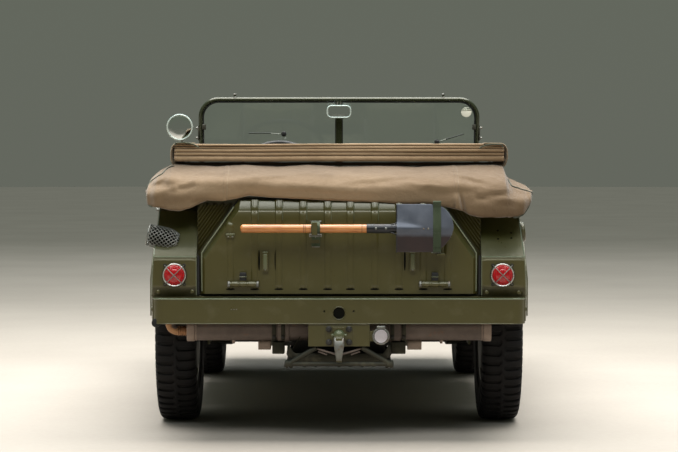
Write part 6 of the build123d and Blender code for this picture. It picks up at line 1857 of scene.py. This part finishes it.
for k in range(4):
    x = (-0.22, -0.14, 0.14, 0.22)[k]
    s = 1 if x > 0 else -1
    lathe(ba, (x, -1.470, 0.452), Z, [(0.014, -0.004), (0.014, 0.010), (0.009, 0.012), (0.009, 0.034), (0.004, 0.036)], 14)
    wire(bk, [(x, -1.470, 0.484), (x, -1.475, 0.520), (s * 0.150, -1.500, 0.560), (s * 0.135, -1.540, 0.640 - 0.012 * k)], 0.0034, 0.03)
lathe(bm, (0.230, -1.500, 0.760), Z, [(0.0870, -0.012), (0.0870, -0.002), (0.0820, 0.004), (0.0300, 0.010), (0.0120, 0.012), (0.0120, 0.022), (0.0040, 0.024)], 40)
ring(bm, (0.230, -1.500, 0.700), Z, 0.0858, 0.0026, 48, 8)
ring(bm, (0.230, -1.500, 0.640), Z, 0.0858, 0.0026, 48, 8)
for k in range(9):
    z = 0.575 + 0.0140 * k
    block(ba, -0.3030, -0.1870, -1.5630, -1.3970, z, z + 0.0035, 0.0008, 1)
for k in range(6):
    for s in (1, -1):
        block(ba, min(s * 0.262, s * 0.1850), max(s * 0.262, s * 0.1850), -1.5230, -1.3370, 0.360 + 0.014 * k, 0.3635 + 0.014 * k, 0.0008, 1)
from_bm("engine_pulleys", bm, OILY, "chassis")
from_bm("engine_belt_and_leads", bk, BLACK_RUBBER, "chassis")
from_bm("engine_cooling_fins", ba, ALLOY, "chassis")


# ------------------------------------------------------------------
# rear corners: crisp folds with painted highlight lines, and a black strip in the gap beside the lid as painted shadow
# ------------------------------------------------------------------
def surface_tree(*names):
    """A search tree over the construction's own surface, to lay trim on it."""
    verts, faces = [], []
    for n in names:
        me = NODES[n].data
        k = len(verts)
        verts += [v.co.copy() for v in me.vertices]
        faces += [tuple(k + i for i in p.vertices) for p in me.polygons]
    return BVHTree.FromPolygons(verts, faces)


REAR_TREE = surface_tree("rear_body", "side_left", "side_right")


def behind(x, z, tree=None, default=REAR_FACE):
    """The rearmost surface at a place across and up."""
    hit = (tree or REAR_TREE).ray_cast(Vector((x, -2.4, z)), Vector((0, 1, 0)))
    return hit[0].y if hit[0] is not None else default


FOLD_Z = 0.7072
# half width of the corner's rear edge at each height, read off the photograph
CORNER_EDGE = [(0.5555, 0.7175), (0.6300, 0.7150), (0.7072, 0.7110), (0.7600, 0.7060), (0.8300, 0.7000), (0.9050, 0.6960)]
SKIN = 0.0012


def corner_back(z):
    return -1.7720 - SKIN if z <= FOLD_Z else -1.7728 - SKIN + (z - FOLD_Z) * 0.804


def side_plane(y, z):
    return 0.720 + (y + 1.720) * 0.0889 - 0.115 * max(z - 0.600, 0) + SKIN


for side, s in (("left", -1), ("right", 1)):
    heights = [0.5555, 0.60, 0.65, 0.69, FOLD_Z - 0.0001, FOLD_Z, 0.73, 0.76, 0.80, 0.84, 0.875, 0.905]
    verts = []
    for z in heights:
        yb, xe = corner_back(z), line(CORNER_EDGE, z)
        row = [(0.5462, yb + 0.024), (0.5462, yb + 0.010), (0.5462, yb)]
        row += [(0.5462 + (xe - 0.5462) * k / 8, yb) for k in range(1, 9)]
        for k in range(1, 9):
            t = k / 8
            y = yb + 0.140 * t
            blend = t * t * (3 - 2 * t)
            lean = xe + (y - yb) * 0.0889
            row.append((lean + (side_plane(y, z) - lean) * blend - 0.0016 * max(0, t - 0.85) / 0.15, y))
        verts += [Vector((s * x, y, z)) for x, y in row]
    cols = len(verts) // len(heights)
    faces = [(i * cols + j, (i + 1) * cols + j, (i + 1) * cols + j + 1, i * cols + j + 1) for i in range(len(heights) - 1) for j in range(cols - 1)]
    o = mesh_from("corner_skin_" + side, verts, faces, OLIVE, None, True, 20)
    m = o.modifiers.new("thickness", "SOLIDIFY")
    m.thickness, m.offset = 0.0012, 0.0
    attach(o, "chassis")
    # beads along the fold and the edges in the lighter edge paint: painted highlight lines
    bm = bmesh.new()
    across = [Vector((s * (0.5475 + (0.7095 - 0.5475) * k / 10), corner_back(FOLD_Z), FOLD_Z - 0.0012)) for k in range(11)]
    sweep(bm, across, circle(0.0030, 10), up=Z)
    outer = [Vector((s * (line(CORNER_EDGE, z) - 0.0012), corner_back(z) + 0.0012, z)) for z in [0.5600 + 0.0147 * k for k in range(11)]]
    sweep(bm, outer, circle(0.0020, 8), up=Y)
    upper = [Vector((s * (line(CORNER_EDGE, z) - 0.0012), corner_back(z) + 0.0012, z)) for z in [FOLD_Z + 0.0019 * 10 * k for k in range(11)]]
    sweep(bm, upper, circle(0.0024, 8), up=Y)
    inner = [Vector((s * 0.5470, corner_back(z) + 0.0008, z)) for z in [0.5600 + 0.0147 * k for k in range(11)]]
    sweep(bm, inner, circle(0.0018, 8), up=Y)
    from_bm("corner_edges_" + side, bm, EDGE_HIGHLIGHT, "chassis")

# the gap: a black rubber strip between the corner box and the lid, painted shadow for the gap
bm = bmesh.new()
for s in (1, -1):
    path = [Vector((s * 0.5388, REAR_FACE + 0.0035, z)) for z in [0.5620 + 0.0100 * i for i in range(16)]]
    sweep(bm, path, [(-0.0062, -0.004), (0.0062, -0.004), (0.0062, 0.004), (0.0040, 0.0010), (-0.0040, 0.0010), (-0.0062, 0.004)], up=X)
from_bm("lid_gap_shadow_strips", bm, BLACK_RUBBER, "chassis")

# three small ventilation dots pressed beside the crank hole
bm = bmesh.new()
for dx in (-0.010, 0.0, 0.010):
    lathe(bm, (-0.4008 + dx, -1.8125, 0.508), REAR_VIEW, [(0.0022, -0.001), (0.0020, 0.0007), (0.0005, 0.0009)], 12)
from_bm("bumper_dots", bm, DULL, "chassis")


# ------------------------------------------------------------------
# floor, light and camera
# ------------------------------------------------------------------
def floor_material():
    k = Mat("pale_floor")
    cloud = k.noise(0.7, 5, 0.6)
    fine = k.noise(40, 3)
    colour = k.mix(k.grey(cloud, 0.3, 0.7), (0.330, 0.296, 0.258), (0.372, 0.335, 0.294))
    k.set(Specular_IOR_Level=0.25)
    return k.out(colour, k.grey(fine, 0.3, 0.7, 0.7, 0.85), k.bump(fine, 0.05, 0.0005))


bm = bmesh.new()
rings = []
for r in (0.0005, 2.0, 8.0, 26.0, 60.0):
    rings.append([bm.verts.new((r * math.cos(2 * math.pi * i / 64), r * math.sin(2 * math.pi * i / 64), 0)) for i in range(64)])
ring_faces(bm, rings, True, True, False)
floor = from_bm("floor", bm, floor_material(), None)

scene = bpy.context.scene
world = bpy.data.worlds.new("studio")
scene.world = world
world.use_nodes = True
wt = world.node_tree
bg = wt.nodes["Background"]
wc, ws, wm, wr = (wt.nodes.new("ShaderNode" + k) for k in ("TexCoord", "SeparateXYZ", "MapRange", "ValToRGB"))
wt.links.new(wc.outputs["Generated"], ws.inputs[0])
wt.links.new(ws.outputs["Z"], wm.inputs["Value"])
wm.inputs["From Min"].default_value = -0.02
wm.inputs["From Max"].default_value = 1.0
wt.links.new(wm.outputs["Result"], wr.inputs["Fac"])
els = wr.color_ramp.elements
SKY = [(0.0, (0.075, 0.080, 0.066)), (0.30, (0.070, 0.082, 0.062)), (0.55, (0.20, 0.23, 0.20)), (1.0, (0.36, 0.39, 0.38))]
while len(els) < len(SKY):
    els.new(0.5)
for e, (p, c) in zip(els, SKY):
    e.position = p
    e.color = (*c, 1)
wt.links.new(wr.outputs["Color"], bg.inputs["Color"])
bg.inputs["Strength"].default_value = 1.7


def area_light(name, loc, aim, size, power, colour=(1, 1, 1)):
    d = bpy.data.lights.new(name, "AREA")
    d.shape = "RECTANGLE"
    d.size, d.size_y = size
    d.energy = power
    d.color = colour
    o = bpy.data.objects.new(name, d)
    o.location = loc
    o.rotation_euler = (Vector(aim) - Vector(loc)).to_track_quat("-Z", "Y").to_euler()
    scene.collection.objects.link(o)


area_light("overhead", (0.0, 0.0, 6.0), (0, 0.1, 0.8), (7.0, 5.5), 1200, (1.0, 0.99, 0.97))
area_light("rear_sky", (0.0, -9.9, 10.4), (0, -1.6, 0.8), (12.0, 4.4), 1150, (0.95, 0.98, 1.0))
area_light("front_sky", (0.0, 12.0, 8.5), (0, 1.6, 0.8), (9.0, 4.0), 420, (0.95, 0.98, 1.0))

cam_data = bpy.data.cameras.new("camera")
cam_data.lens = 2375 / 678 * 36
cam_data.sensor_width = 36
cam_data.clip_end = 100
cam = bpy.data.objects.new("camera", cam_data)
scene.collection.objects.link(cam)
cam.location = (0, -10.86, 1.12)
cam.rotation_euler = (math.radians(90 - 1.857), 0, 0)
scene.camera = cam
scene.view_settings.view_transform = "Standard"
